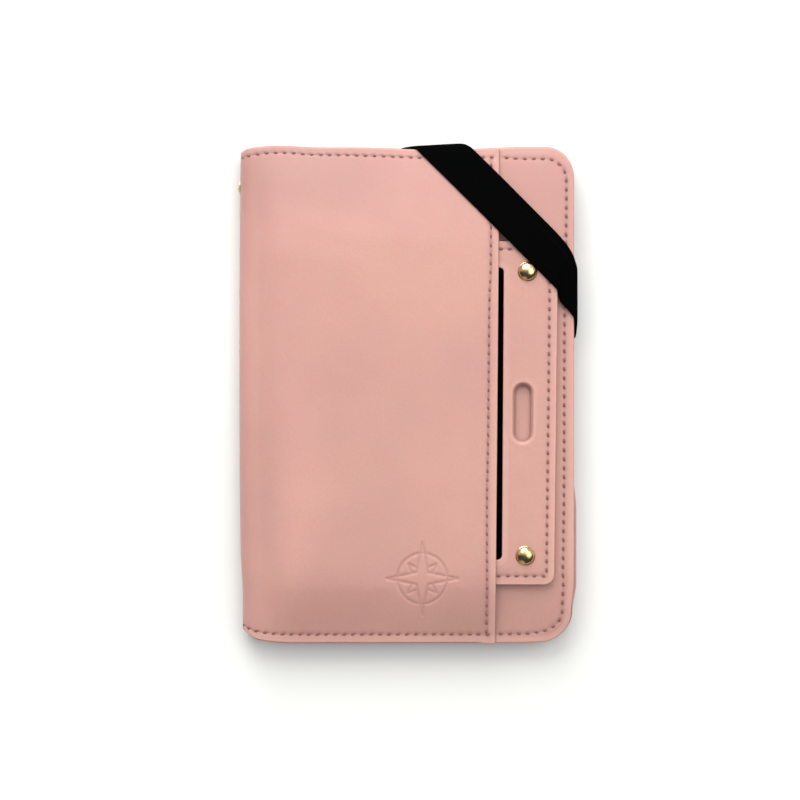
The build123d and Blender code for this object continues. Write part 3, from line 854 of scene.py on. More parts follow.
def gold(name, cad=False, dark=srgb(212, 180, 132), light=srgb(231, 203, 158), rougher=0.0):
    m = Material(name, cad)
    cloud = m.noise(scale=0.9, rough=0.6)
    scratch = m.noise(scale=5.0, rough=0.7, vec=m.scaled(1, 7, 1))
    smooth_parts = m.ramp(m.voronoi(scale=3.2), span=(0.0, 0.16), to=(0, 1))
    color = m.mix(m.ramp(cloud, span=(0.35, 0.7), to=(0, 1)), dark, light)
    pit_share = 0.25
    color = m.mix(m.times(m.calc("SUBTRACT", 1.0, smooth_parts), pit_share), color,
                  srgb(170, 130, 84))
    m.set(Base_Color=color, Metallic=1.0,
          Roughness=m.ramp(m.plus(cloud, scratch), span=(0.7, 1.3),
                           to=(0.15 + rougher, 0.26 + rougher)),
          Normal=m.bump(scratch, strength=0.06, distance=0.00003))
    return m.mat


def film():
    """Clear, slightly smeared film, mostly see-through."""
    m = Material("clear_film")
    smear = m.noise(scale=0.09, rough=0.6, distortion=0.6)
    dust = m.ramp(m.voronoi(scale=0.9), span=(0.0, 0.09), to=(0.25, 0.0))
    color = m.mix(m.ramp(smear, span=(0.4, 0.7), to=(0, 1)),
                  (0.94, 0.94, 0.95, 1), (0.98, 0.985, 0.99, 1))
    dust_gain, clear_share = 0.5, 0.78
    m.set(Base_Color=color, Transmission_Weight=1.0, IOR=1.12, Specular_IOR_Level=0.3,
          Roughness=m.plus(m.ramp(smear, span=(0.35, 0.75), to=(0.04, 0.12)),
                           m.times(dust, dust_gain)),
          Normal=m.bump(smear, strength=0.05, distance=0.0004))
    clear = m.new("ShaderNodeBsdfTransparent")
    mixer = m.new("ShaderNodeMixShader")
    mixer.inputs[0].default_value = clear_share
    m.link(m.shader.outputs[0], mixer.inputs[1])
    m.link(clear.outputs[0], mixer.inputs[2])
    m.link(mixer.outputs[0], m.tree.nodes["Material Output"].inputs["Surface"])
    return m.mat


def board(name, cad=False):
    """Grey-brown layered board."""
    m = Material(name, cad)
    fibre = m.noise(scale=1.5, detail=4, rough=0.7, vec=m.scaled(1, 3, 3))
    ply = m.wave(scale=2.2, direction="Z", distortion=2.0)
    color = m.mix(m.ramp(fibre, span=(0.35, 0.7), to=(0, 1)),
                  srgb(150, 132, 110), srgb(184, 166, 142))
    ply_share = 0.25
    color = m.mix(m.times(ply, ply_share), color, srgb(132, 112, 90))
    m.set(Base_Color=color, Roughness=m.ramp(fibre, span=(0.3, 0.7), to=(0.75, 0.92)),
          Normal=m.bump(fibre, strength=0.4, distance=0.0001))
    return m.mat


OUTER = leather("outer_leather", painted_light=True)
PRESSED = leather("outer_leather_pressed", press=0.16, painted_light=True)
SLOTTED = leather("outer_leather_slot", press=0.5)
INNER = leather("inner_leather", base=srgb(166, 121, 113), warm=srgb(171, 128, 117),
                cool=srgb(159, 115, 109), rough=0.56, grain=1.15)
LINING = cloth("lining_cloth", dark=srgb(122, 90, 87), light=srgb(150, 118, 113))
THREAD = thread()
ELASTIC = elastic()
BLACK = cloth("black_liner_cloth", dark=(0.0006, 0.0006, 0.0007, 1),
              light=(0.0014, 0.0014, 0.0015, 1), pitch=0.35, rough=0.9, specular=0.01, sheen=0.0)
GOLD = gold("gold_metal")
STUD_GOLD = gold("pale_gold_metal", dark=srgb(222, 208, 178), light=srgb(236, 226, 202),
                 rougher=0.3)
FILM = film()
board("grey_board", cad=True)      # the same board in object coordinates; no piece is given it
BOARD = board("grey_board_piece")


# ---------------------------------------------------------------- the spine's bend
class SpineCurve:
    """Quarter superellipse from a cover's flat part (0, height) round to (-bulge, 0).
    A flattened sheet's x below SPINE_START is length along it."""

    def __init__(self, bulge, height):
        angle = np.linspace(0, PI / 2, 400)
        self.height = height
        self.x = -bulge * np.sin(angle) ** (2 / SPINE_POWER)
        self.z = height * np.cos(angle) ** (2 / SPINE_POWER)
        self.length = running(np.hypot(np.diff(self.x), np.diff(self.z)))
        self.end = SPINE_START - self.length[-1]

    def columns(self, step, beyond):
        return list(np.arange(self.end + step, SPINE_START + beyond, step))

    def bend(self, points, side, zero_z=0.0, outward=1):
        """Wraps a flattened sheet round the curve, on the front (side 1) or back (side -1).
        (z - zero_z) * outward is its height along the outward normal."""
        points = np.array(points, float)
        x = points[:, 0].copy()
        off = (points[:, 2] - zero_z) * outward
        slope_x, slope_z = np.gradient(self.x), np.gradient(self.z)
        size = np.hypot(slope_x, slope_z)
        bent = x < SPINE_START
        s = np.where(bent, SPINE_START - x, 0)
        curve_x, curve_z, normal_x, normal_z = [
            np.interp(s, self.length, values)
            for values in (self.x, self.z, slope_z / size, -slope_x / size)]
        size = np.hypot(normal_x, normal_z)
        normal_x, normal_z = normal_x / size, normal_z / size
        points[:, 0] = np.where(bent, SPINE_START + curve_x + normal_x * off, x)
        points[:, 2] = MID_Z + side * np.where(bent, curve_z + normal_z * off,
                                               self.height + off)
        return points


FRONT_CURVE = SpineCurve(SPINE_BULGE, POCKET_LOW - MID_Z)
BACK_CURVE = SpineCurve(SPINE_BULGE, MID_Z)

# y shift of the head and foot edges at stations along x
pull_head = spline(
    [-49.6, -48.6, -46.8, -43.8, -39.0, -35, -30, -25, -18, -4, 0, 3, 12, 22, 34, 50],
    [-0.9, -0.35, 0.35, 0.88, 1.22, 1.18, 0.86, 0.73, 0.72, 0.42, 0.22, 0.12, 0.12, 0.42, 0.92,
     0.95])
pull_foot = spline(
    [-49.6, -48.7, -47.4, -45.4, -42.5, -38.5, -34, -20, 0, 30, 38, 44, 50],
    [3.4, 2.8, 1.85, 0.65, -0.12, -0.58, -0.74, -0.74, -0.70, -0.64, -0.52, -0.05, 0.3])


def pull(points):
    """The head and foot edges draw in a little where the leather turns round the spine, and
    stand proud just past it."""
    x, y = points[:, 0], points[:, 1]
    weight = (np.abs(y) / HALF) ** 9
    points[:, 1] = y + np.where(y > 0, pull_head(x), pull_foot(x)) * weight
    return points


def place_front_cover(points):
    """The front cover's low outer corner is rounder than the high one."""
    points = pull(np.array(points, float))
    out = 0.2 - 0.85 * smooth((-54.0 - points[:, 1]) / 11.0)
    points[:, 0] += out * smooth((points[:, 0] - 20) / 24)
    return points


def place_pocket(points):
    """The slip pocket's open edge leans a little, and its low corner stands out under its seam."""
    points = pull(FRONT_CURVE.bend(points, side=1, zero_z=POCKET_LOW))
    points[:, 1] -= (0.42 * smooth((points[:, 0] - POCKET_X + 5.5) / 3.5)
                     * (np.minimum(points[:, 1], 0) / HALF) ** 30)
    points[:, 0] += POCKET_LEAN * points[:, 1] * smooth((points[:, 0] + 10) / 30)
    return points


def place_back_cover(points):
    """The back cover shows beyond the front along the low part of the fore-edge."""
    points = pull(BACK_CURVE.bend(points, side=-1, outward=-1))
    y = points[:, 1]
    out = -0.40 + 0.98 * smooth((-22.0 - y) / 12.0) - 1.25 * smooth((-55.2 - y) / 9.5)
    points[:, 0] += out * smooth((points[:, 0] - 20) / 24)
    return points


def sleeve_lean(x, y):
    """How far the sleeve leans towards the fore-edge, more along its outer edge."""
    return (0.0063 + 0.0050 * smooth((x - 29.0) / 13.0)) * (y + 5.0)


def place_sleeve(points):
    """The sleeve leans a little in its pocket, and its inner end is skived thin."""
    points = np.array(points, float)
    thin = 0.25 * smooth((SLEEVE_LOW[0] + 5.0 - points[:, 0]) / 5.0)
    points[:, 2] -= thin * np.maximum(points[:, 2] - 9.25, 0)
    points[:, 0] += sleeve_lean(points[:, 0], points[:, 1])
    return points


def low_waves(x, y):
    """Slow unevenness of soft leather."""
    return (0.07 * np.sin(0.11 * x + 0.6) * np.sin(0.071 * y + 1.1)
            + 0.05 * np.sin(0.19 * x - 0.13 * y + 2.0) + 0.03 * np.sin(0.27 * y + 0.09 * x))


# ---------------------------------------------------------------- the outer slip pocket
POCKET_RISE = 3.1                  # how far the filled pocket stands up
# share of the rise at stations along x and along y
rise_x = spline(
    [-45.2, -43.6, -41.5, -39.8, -38.1, -36, -33, -27, -15, 0, 12, 20, 26.6],
    [0.0, 0.04, 0.27, 0.52, 0.72, 0.855, 0.935, 0.985, 1.0, 0.99, 0.97, 0.94, 0.915])
rise_y = spline(
    [-71.6, -70.2, -68, -65.5, -62.5, -59, -55.7, -50, -42, -30, 0, 25, 35, 41, 45.4, 50, 55, 60,
     65, 68.5, 71.4],
    [0.0, 0.07, 0.215, 0.385, 0.575, 0.77, 0.905, 0.96, 0.985, 1.0, 1.0, 1.0, 0.985, 0.96, 0.905,
     0.78, 0.615, 0.435, 0.25, 0.11, 0.0])

ROSE_CENTRE, ROSE_RADIUS = (4.7, -53.8), 10.6
ROSE_PATCH = 12.4                  # half width of the finely meshed patch round the rose


def rose_lines():
    """Line segments of a plain eight-point compass rose."""

    def at(degrees, radius):
        t = math.radians(degrees)
        return (ROSE_CENTRE[0] + ROSE_RADIUS * radius * math.sin(t),
                ROSE_CENTRE[1] + ROSE_RADIUS * radius * math.cos(t))

    segments = []
    for a in (0, 90, 180, 270):
        tip, short_tip = at(a, 1.0), at(a + 45, 0.56)
        segments += [(at(a - 45, 0.235), tip), (tip, at(a + 45, 0.235)),
                     (at(a + 26, 0.335), short_tip), (short_tip, at(a + 64, 0.335))]
    count, ring = 64, 0.70
    return segments + [(at(360 * i / count, ring), at(360 * (i + 1) / count, ring))
                       for i in range(count)]


ROSE_LINES = rose_lines()


def rose_press(x, y):
    """How deeply the rose is pressed in, 0 to 1."""
    depth = np.zeros(len(x))
    close = np.where(np.hypot(x - ROSE_CENTRE[0], y - ROSE_CENTRE[1]) < ROSE_RADIUS + 1.8)[0]
    q = np.stack([x[close], y[close]], 1)
    nearest = np.full(len(close), 1e3)
    for a, b in ROSE_LINES:
        a, b = np.array(a), np.array(b)
        d = b - a
        t = np.clip(((q - a) @ d) / (d @ d), 0, 1)
        nearest = np.minimum(nearest, np.hypot(*(q - a - t[:, None] * d).T))
    depth[close] = np.exp(-((nearest / 0.43) ** 2))
    return depth


def pocket_z(x, y):
    """Outer face of the slip pocket, with slow waves and a patch of ripples near the head."""
    rise = POCKET_RISE * rise_x(x) * rise_y(y) * (1 + 0.03 * low_waves(x, y))
    ripple = (0.055 * np.sin(0.60 * y + 0.13 * x + 0.05 * np.sin(0.4 * x))
              * np.exp(-((x + 22) / 22) ** 2 - ((y - 51) / 13) ** 2))
    return POCKET_LOW + rise + (0.6 * low_waves(x, y) + ripple) * rise_x(x) * rise_y(y)


POCKET_OUTLINE = (FAR_LEFT, POCKET_X, -HALF + 0.25, HALF - 0.05, (0, 0.35, 0.35, 0))


def pocket_top(x, y):
    d = np.maximum(edge_distance(POCKET_OUTLINE, x, y), 0)
    return pocket_z(x, y) - 0.20 * rose_press(x, y) - 0.10 * np.exp(-(d / 1.3) ** 2)


seam_x = np.arange(POCKET_X - 0.9, FRONT_CURVE.end, -PATH_STEP)
head_path = np.stack([seam_x, np.full(len(seam_x), HALF - SEAM)], 1)
foot_path = head_path * np.array([1, -1]) + np.array([0.0, 0.41])
head_drift = spline([-80, -46, -41, -34, -28, -17, -11, -5, 30],
                    [0.0, 0.05, 0.28, 0.3, 0.08, 0.0, -0.13, -0.2, -0.5])
head_path[:, 1] += head_drift(head_path[:, 0])
seam_y = np.arange(-HALF + SEAM, HALF - SEAM, PATH_STEP)
edge_drift = spline([-73, -60, -45, -33, -22, -10, 20, 30, 38, 73],
                    [-0.33, -0.33, -0.45, -0.56, -0.5, -0.37, -0.38, -0.3, -0.03, -0.03])
edge_path = np.stack([np.full(len(seam_y), POCKET_X - 2.3), seam_y], 1)
edge_path[:, 0] += edge_drift(seam_y)

pocket = sheet("front_pocket_leather", POCKET_OUTLINE, lambda x, y: pocket_z(x, y) - POCKET_T,
               pocket_top, PRESSED, round_r=0.32, cut_x=FRONT_CURVE.end,
               columns=FRONT_CURVE.columns(step=0.45, beyond=3.5),
               seams=[head_path, foot_path, edge_path], fine=(ROSE_CENTRE, ROSE_PATCH, 0.27),
               # the rose's pressed lines get painted shade from this attribute
               place=place_pocket, extra=rose_press, step=1.5)
spine_seams = stitches("front_seam_stitches_spine", [head_path, foot_path], pocket_z, seed=5,
                       place=place_pocket)
pocket_seam = stitches("pocket_edge_stitches", [edge_path], pocket_z, seed=6, place=place_pocket)

# ---------------------------------------------------------------- front cover
COVER_RADII = (0, CORNER, CORNER, 0)
FRONT_OUTLINE = (-60.0, FRONT_X, -HALF, HALF, COVER_RADII)


def front_z(x, y):
    d = edge_distance((FAR_LEFT, FRONT_X, -HALF, HALF, COVER_RADII), x, y)
    return (FRONT_Z - 0.28 * np.exp(-(np.maximum(d, 0) / 2.4) ** 2)
            + 0.35 * low_waves(x * 1.2, y))


def front_border():
    """Seam path beyond the slip pocket, from foot to head, not quite parallel to the edge."""
    loop = loop_points(FRONT_OUTLINE, SEAM, PATH_STEP)
    loop = loop[loop[:, 0] > POCKET_X - 0.2]
    loop = loop[np.argsort(np.arctan2(loop[:, 1], loop[:, 0] - POCKET_X + 8))]
    x, y = loop[:, 0], loop[:, 1]
    side_drift = spline(
        [-73, -66, -61.7, -57.3, -51.4, -45.5, -39.6, -33.7, -16, 13, 19.3, 30, 45, 56, 73],
        [-0.2, -0.4, -0.62, -0.85, -1.12, -1.0, -0.95, -0.85, -0.77, -0.7, -0.66, -0.5, -0.25,
         -0.1, -0.1])
    drift_x = side_drift(y) * smooth((x - 37.0) / 7.0)
    at_foot = (0.36 + 0.7 * smooth((x - 35.0) / 8.0)) * smooth((-59.0 - y) / 7.0)
    at_head = (0.5 + 0.6 * smooth((x - 26.0) / 8.0)) * smooth((y - 61.0) / 7.0)
    return loop + np.stack([drift_x, at_foot - at_head], 1)


front_path = front_border()
front_skin = sheet("front_cover_leather", FRONT_OUTLINE, FRONT_Z - 1.38, front_z, OUTER,
                   round_r=0.5, cut_x=-44.9, seams=[front_path], place=place_front_cover)
front_seam = stitches("front_seam_stitches", [front_path], front_z, seed=7,
                      place=place_front_cover)

# ---------------------------------------------------------------- back cover and spine
BACK_OUTLINE = (FAR_LEFT, BACK_X, -HALF, HALF, COVER_RADII)
back_path = np.concatenate(head_side_foot(BACK_OUTLINE, SEAM, BACK_CURVE.end))


def back_top(x, y):
    """The leather is thinner round the spine."""
    spine_t, cover_t = 0.75, 1.44
    return spine_t + (cover_t - spine_t) * smooth((x - SPINE_START) / 3.0)


def back_bottom(x, y):
    return 0.12 * np.exp(-(np.maximum(edge_distance(BACK_OUTLINE, x, y), 0) / 1.6) ** 2)


back_skin = sheet("back_cover_leather", BACK_OUTLINE, back_bottom, back_top, OUTER,
                  round_r=0.33, cut_x=BACK_CURVE.end,
                  columns=BACK_CURVE.columns(step=0.45, beyond=3.5), seams=[back_path],
                  place=place_back_cover, seams_below=True)
back_seam = stitches("back_seam_stitches", [back_path], lambda x, y: np.zeros(len(x)), seed=8,
                     place=place_back_cover, below=True, sink=0.17)


# ---------------------------------------------------------------- linings and boards
def cover_lining(name, cover_x, low, high):
    inset = 0.7
    outline = (-44.5, cover_x - inset, -HALF + inset, HALF - inset,
               (0.3, CORNER - inset, CORNER - inset, 0.3))
    return sheet(name, outline, low, high, LINING, round_r=0.18, rings=EDGE_RINGS + [1.5, 3.0],
                 ring_step=1.0, step=3.0)


def stiffener(node):
    """The board inside a cover, a little thinner than its CAD piece."""
    (x0, y0, z0), (x1, y1, z1) = limits(node)
    radii = (1.0, CORNER - 2.5, CORNER - 2.5, 1.0)
    return sheet(node + "_sheet", (x0, x1, y0, y1, radii), z0 + 0.02, z1 - 0.02, BOARD,
                 round_r=0.12, rings=[0, 0.05, 0.12, 0.4], ring_step=1.2, step=3.0)


def spine_card():
    """A thin upright strip inside the spine, its long edges rounded."""
    (x0, y0, z0), (x1, y1, z1) = limits("spine_strip")
    r = 0.12
    ring = []
    for cx, cz, start in ((x1 - r, z1 - r, 0), (x0 + r, z1 - r, 90),
                          (x0 + r, z0 + r, 180), (x1 - r, z0 + r, 270)):
        for k in range(4):
            t = math.radians(start + 30 * k)
            ring.append((cx + r * math.cos(t), cz + r * math.sin(t)))
    ring = np.array(ring)
    ys = np.linspace(y0, y1, int((y1 - y0) / 1.5) + 1)
    m, n = len(ring), len(ys)
    ends = np.array([[(x0 + x1) / 2, y, (z0 + z1) / 2] for y in (y0, y1)])
    verts = [np.stack([ring[:, 0], np.full(m, y), ring[:, 1]], 1) for y in ys] + [ends]
    j = np.arange(m)
    j2 = (j + 1) % m
    quads = [np.stack([i * m + j, i * m + j2, (i + 1) * m + j2, (i + 1) * m + j], 1)
             for i in range(n - 1)]
    last = (n - 1) * m
    tris = [np.stack([np.full(m, n * m), j2, j], 1),
            np.stack([np.full(m, n * m + 1), last + j, last + j2], 1)]
    return build("spine_strip_card", np.concatenate(verts), np.concatenate(tris),
                 np.concatenate(quads), BOARD)


def spine_lining(name, height, side):
    """Half of the spine's lining; the halves meet in the middle of the spine."""
    curve = SpineCurve(2.75, height)
    return sheet(name, (FAR_LEFT, -41.6, -70.2, 70.2, (0, 0.3, 0.3, 0)), 0.0, 0.36, LINING,
                 round_r=0.15, cut_x=curve.end, columns=curve.columns(step=0.4, beyond=1.0),
                 rings=EDGE_RINGS, ring_step=1.0, step=1.2,
                 place=lambda points: curve.bend(points, side))


back_lining = cover_lining("back_lining_cloth", BACK_X, low=1.46, high=1.92)
front_lining = cover_lining("front_lining_cloth", FRONT_X, low=7.42, high=7.82)
strip_card = spine_card()
front_board = stiffener("front_cover_board")
back_board = stiffener("back_cover_board")
lining_front = spine_lining("spine_lining_front", 7.06 - MID_Z, side=1)
lining_back = spine_lining("spine_lining_back", MID_Z - 2.28, side=-1)

# ---------------------------------------------------------------- inside pockets
INNER_SEAM = 1.15                  # from an inside pocket's edge to its seam


def passport_pocket():
    """The pocket on the back cover, with a round notch in its open edge."""
    (x0, y0, _), (x1, y1, z1) = limits("passport_pocket")
    r = CORNER - 1.2

    def top(x, y):
        low = 2.52
        d = edge_distance((-200, x1, y0, y1, (0, r, r, 0)), x, y)
        return low + (z1 - low) * smooth((d - 1.6) / 6.5) + 0.12 * low_waves(x, y)

    path = np.concatenate(head_side_foot((-60, x1, y0, y1, (0, r, r, 0)), INNER_SEAM, x0 + 0.6))
    rings = EDGE_RINGS + [0.95, 1.15, 1.35, 1.7, 2.2, 2.9, 3.8, 4.8, 5.9, 7.2, 8.6]
    leather_sheet = sheet("passport_pocket_leather", (x0, x1, y0, y1, (0.8, r, r, 0.8)),
                          lambda x, y: top(x, y) - 0.58, top, INNER, round_r=0.26, rings=rings,
                          holes=[(x0, 0.0, 11.0)], seams=[path], step=2.2, groove=0.2)
    return leather_sheet, stitches("passport_pocket_stitches", [path], top, seed=9, sink=0.12)


def card_panel(name, lip, seed):
    """A card panel under the front cover, sewn round three sides and hemmed along its mouth
    towards the head. lip is how far its sewn edges rise."""
    (x0, y0, z0), (x1, y1, _) = limits(name)
    r = CORNER - 1.5

    def low(x, y):
        d = edge_distance((x0, x1, y0, 200, (0.8, r, 0, 0)), x, y)
        return z0 + lip * (1 - smooth((d - 1.0) / 3.0)) + 0.05 * low_waves(x * 1.3, y)

    loop = loop_points((x0, x1, y0, 100, (0.8, r, 0, 0)), INNER_SEAM, PATH_STEP)
    loop = loop[loop[:, 1] < y1 - 0.6]
    on_left = loop[:, 0] < x0 + INNER_SEAM + 0.0001
    on_foot = loop[:, 1] < y0 + INNER_SEAM + 0.0001
    path = np.concatenate([sorted_by(loop[on_left], 1, -1), sorted_by(loop[~on_left & on_foot], 0),
                           sorted_by(loop[~on_left & ~on_foot], 1)])
    mouth_x = np.arange(x0 + 2.2, x1 - 2.2, PATH_STEP)
    mouth = np.stack([mouth_x, np.full(len(mouth_x), y1 - 2.2)], 1)
    rings = EDGE_RINGS + [0.95, 1.15, 1.35, 1.7, 2.0, 2.2, 2.4, 2.7, 3.4, 4.4]
    panel = sheet(name + "_leather", (x0, x1, y0, y1, (0.8, r, 0.8, 0.8)), low,
                  lambda x, y: low(x, y) + 0.48, INNER, round_r=0.22, rings=rings,
                  seams=[path, mouth], step=2.4, seams_below=True, groove=0.17)
    return panel, stitches(name + "_stitches", [path, mouth], low, seed=seed, below=True,
                           sink=0.10)


passport, passport_seam = passport_pocket()
card_panels = {"card_panel_upper": card_panel("card_panel_upper", lip=0.28, seed=10),
               "card_panel_lower": card_panel("card_panel_lower", lip=0.26, seed=11)}

# ---------------------------------------------------------------- pull-out sleeve
SLEEVE_X0, SLEEVE_Y0, SLEEVE_FACE_LOW = SLEEVE_LOW
SLEEVE_X1, SLEEVE_Y1, _ = SLEEVE_HIGH
SLEEVE_OUTLINE = (SLEEVE_X0, SLEEVE_X1, SLEEVE_Y0, SLEEVE_Y1, (3.0,) * 4)
SLEEVE_SEAM = 2.35
WINDOW = (-24.0, 28.2, -48.3, 37.6, (1.3,) * 4)
SLOT_X, SLOT_Y = 34.1, (SLEEVE_Y0 + SLEEVE_Y1) / 2
SLOT_DEPTH = 1.28
RIVETS = [(35.45, 36.5), (34.8, -47.1)]


def slot_outline(r, half_length):
    return (SLOT_X - r, SLOT_X + r, SLOT_Y - half_length, SLOT_Y + half_length, (r,) * 4)


SLOT = slot_outline(2.2, 8.1)
WIDE_SLOT = slot_outline(3.3, 9.2)   # through the layers behind the face


def slot_lip(x, y):
    """The face leather is pressed down into the thumb slot."""
    down = SLOT_DEPTH * (1 - smooth((-edge_distance(SLOT, x, y) - 0.04) / 0.98))
    return down * (np.abs(y - SLOT_Y) < 12) * (np.abs(x - SLOT_X) < 6)


def sleeve_z(x, y):
    """Outer face: dished round the rivets, raised a little round window and slot."""
    z = (SLEEVE_TOP + 0.10 * low_waves(x * 1.5, y * 1.2)
         - 0.12 * np.exp(-(edge_distance(SLEEVE_OUTLINE, x, y) / 1.8) ** 2))
    for rivet_x, rivet_y in RIVETS:
        away = np.hypot(x + sleeve_lean(x, y) - rivet_x, y - rivet_y)
        z = z - 0.16 * np.exp(-((away / 3.3) ** 4))
    z = z + 0.07 * np.exp(-((-edge_distance(WINDOW, x, y) - 0.55) / 0.5) ** 2)
    z = z + 0.06 * np.exp(-((-edge_distance(SLOT, x, y) - 1.5) / 0.5) ** 2)
    return z - slot_lip(x, y)


def sleeve_face():
    head, side, foot = head_side_foot(SLEEVE_OUTLINE, SLEEVE_SEAM, SLEEVE_X0 + 3.1)
    path = np.concatenate([head, side, foot + np.array([0.0, 0.24])])[::-1]
    rings = EDGE_RINGS[:-1] + [0.65, 0.8, 0.95, 1.1, 1.5, 1.85, 2.1, 2.35, 2.6, 2.9, 3.4, 4.2]
    face = sheet("sleeve_front_leather", SLEEVE_OUTLINE,
                 lambda x, y: SLEEVE_FACE_LOW - slot_lip(x, y), sleeve_z, SLOTTED, round_r=0.24,
                 rings=rings, holes=[WINDOW, SLOT], seams=[path], step=1.3, groove=0.24,
                 place=place_sleeve,
                 # the slot's pressed-down walls get painted shade from this attribute
                 extra=lambda x, y: np.clip(slot_lip(x, y) / SLOT_DEPTH, 0, 1) ** 0.7)
    return face, stitches("sleeve_stitches", [path], sleeve_z, seed=12, place=place_sleeve)


def sleeve_back_leather():
    """The rivets' backs lie flush in round holes in it."""
    r = 2.75
    rivet_holes = []
    for rivet_x, y in RIVETS:
        x = rivet_x - float(sleeve_lean(np.array([rivet_x]), np.array([y]))[0])
        rivet_holes.append((x - r, x + r, y - r, y + r, (r,) * 4))
    (_, _, low), (_, _, high) = limits("sleeve_back")
    return sheet("sleeve_back_leather", SLEEVE_OUTLINE, low, high, OUTER, round_r=0.24,
                 rings=EDGE_RINGS + [1.3, 2.4], holes=[WIDE_SLOT] + rivet_holes,
                 ring_step=0.8, step=3.0, place=place_sleeve)


def sleeve_spacer():
    """Middle layer, open at the inner end for a card."""
    inset, margin = 0.35, 4.2
    outline = (SLEEVE_X0 + inset, SLEEVE_X1 - inset, SLEEVE_Y0 + inset, SLEEVE_Y1 - inset,
               (2.7,) * 4)
    card_hole = (SLEEVE_X0 - 4.0, 29.8, SLEEVE_Y0 + margin, SLEEVE_Y1 - margin, (0.4,) * 4)
    (_, _, low), (_, _, high) = limits("sleeve_spacer")
    return sheet("sleeve_spacer_leather", outline, low + 0.01, high - 0.01, OUTER, round_r=0.2,
                 rings=EDGE_RINGS + [1.2], holes=[WIDE_SLOT, card_hole], ring_step=0.8,
                 step=3.0, place=place_sleeve)


def sleeve_liner():
    (x0, y0, z0), (x1, y1, z1) = limits("sleeve_liner")
    return sheet("sleeve_liner_cloth", (x0, x1, y0, y1, (0.4,) * 4), z0 + 0.01,
                 lambda x, y: z1 + 0.02 * low_waves(x * 2, y * 2), BLACK, round_r=0.05,
                 rings=[0, 0.05, 0.3], ring_step=1.2, step=3.0, place=place_sleeve)


def sleeve_window():
    (x0, y0, z0), (x1, y1, z1) = limits("sleeve_window_film")
    return sheet("sleeve_window_sheet", (x0, x1, y0, y1, (0.4,) * 4),
                 lambda x, y: z0 + 0.01 + 0.02 * low_waves(x, y),
                 lambda x, y: z1 - 0.01 + 0.02 * low_waves(x, y), FILM, round_r=0.03,
                 rings=[0, 0.05, 0.4], ring_step=1.2, step=2.4, place=place_sleeve)


def rivet_caps():
    """Domed caps. Profile: radius, height above the sleeve's face."""
    dome = [(2.6 * math.sin(t * PI / 2), 0.26 + 1.32 * math.cos(t * PI / 2))
            for t in np.linspace(0.05, 1, 22)]
    profile = [(0, 1.58)] + dome + [
        (2.72, 0.2), (2.86, 0.14), (2.9, 0.02), (2.84, -0.14), (2.5, -0.2), (1.25, -0.24),
        (1.2, -1.9), (0, -1.9)]
    return lathe("rivet_caps_gold", [(r, SLEEVE_TOP + h) for r, h in profile[::-1]],
                 [(x, y, 0) for x, y in RIVETS], GOLD)


def rivet_backs():
    (_, _, low), (_, _, high) = limits("rivet_backs")
    profile = [(0, low), (1.9, low), (2.35, low + 0.03), (2.58, low + 0.12), (2.6, low + 0.2),
               (2.5, high), (0, high)]
    return lathe("rivet_backs_gold", profile, [(x, y, 0) for x, y in RIVETS], GOLD)


def spine_stud():
    """Round-headed stud on the spine. Profile: radius, distance out along -x."""
    (_, y0, z0), (_, y1, z1) = limits("spine_stud")
    head = [(1.95 * math.sin(t * PI / 2) ** 0.95, 49.32 + 0.68 * math.cos(t * PI / 2) ** 0.9)
            for t in np.linspace(0.08, 1, 10)]
    profile = [(0, 50.02)] + head + [(2.08, 49.27), (2.1, 49.15), (0.85, 49.1), (0.8, 47.3),
                                     (0, 47.3)]
    return lathe("spine_stud_gold", profile[::-1], [(0.0, (y0 + y1) / 2, (z0 + z1) / 2)],
                 STUD_GOLD, sides=40, along_x=True)


sleeve_front, sleeve_seam = sleeve_face()
sleeve_back = sleeve_back_leather()
spacer = sleeve_spacer()
liner = sleeve_liner()
window = sleeve_window()
caps = rivet_caps()
backs = rivet_backs()
stud = spine_stud()

# ---------------------------------------------------------------- elastic band
BAND_IN, BAND_OUT = 75.3, 92.1     # x + y along the band's inner and outer edges
BAND_T = 0.9
BAND_LINES = 61                    # lines of points across the band's width
BAND_POINTS = 300                  # points along each line
BAND_X = BACK_X + 0.08             # the band's plane beside the fore-edge
BAND_LOW = 1.98                    # height of its ends, between the covers


def terrain(x, y):
    """Height of what the band lies on."""
    z = np.full(len(x), FRONT_Z - 0.05)
    on_pocket = x < POCKET_X + 0.05 + POCKET_LEAN * y
    z = np.where(on_pocket, pocket_z(np.minimum(x, POCKET_X), np.clip(y, -HALF, HALF)), z)
    on_sleeve = edge_distance(SLEEVE_OUTLINE, x - sleeve_lean(x, y), y) > -0.15
    z = np.where(on_sleeve, np.maximum(z, SLEEVE_TOP + 0.02), z)
    z = np.where(y > HALF - 0.7, z - (y - HALF + 0.7) * 0.35, z)
    return np.where(x > FRONT_X - 0.9, z - (x - FRONT_X + 0.9) * 0.35, z)


def taut(s, z):
    """Heights of a string pulled tight over the terrain."""
    keep = []
    for i in range(len(s)):
        while len(keep) >= 2:
            a, b = keep[-2], keep[-1]
            if (z[b] - z[a]) * (s[i] - s[a]) > (z[i] - z[a]) * (s[b] - s[a]):
                break
            keep.pop()
        keep.append(i)
    return np.interp(s, s[keep], z[keep])


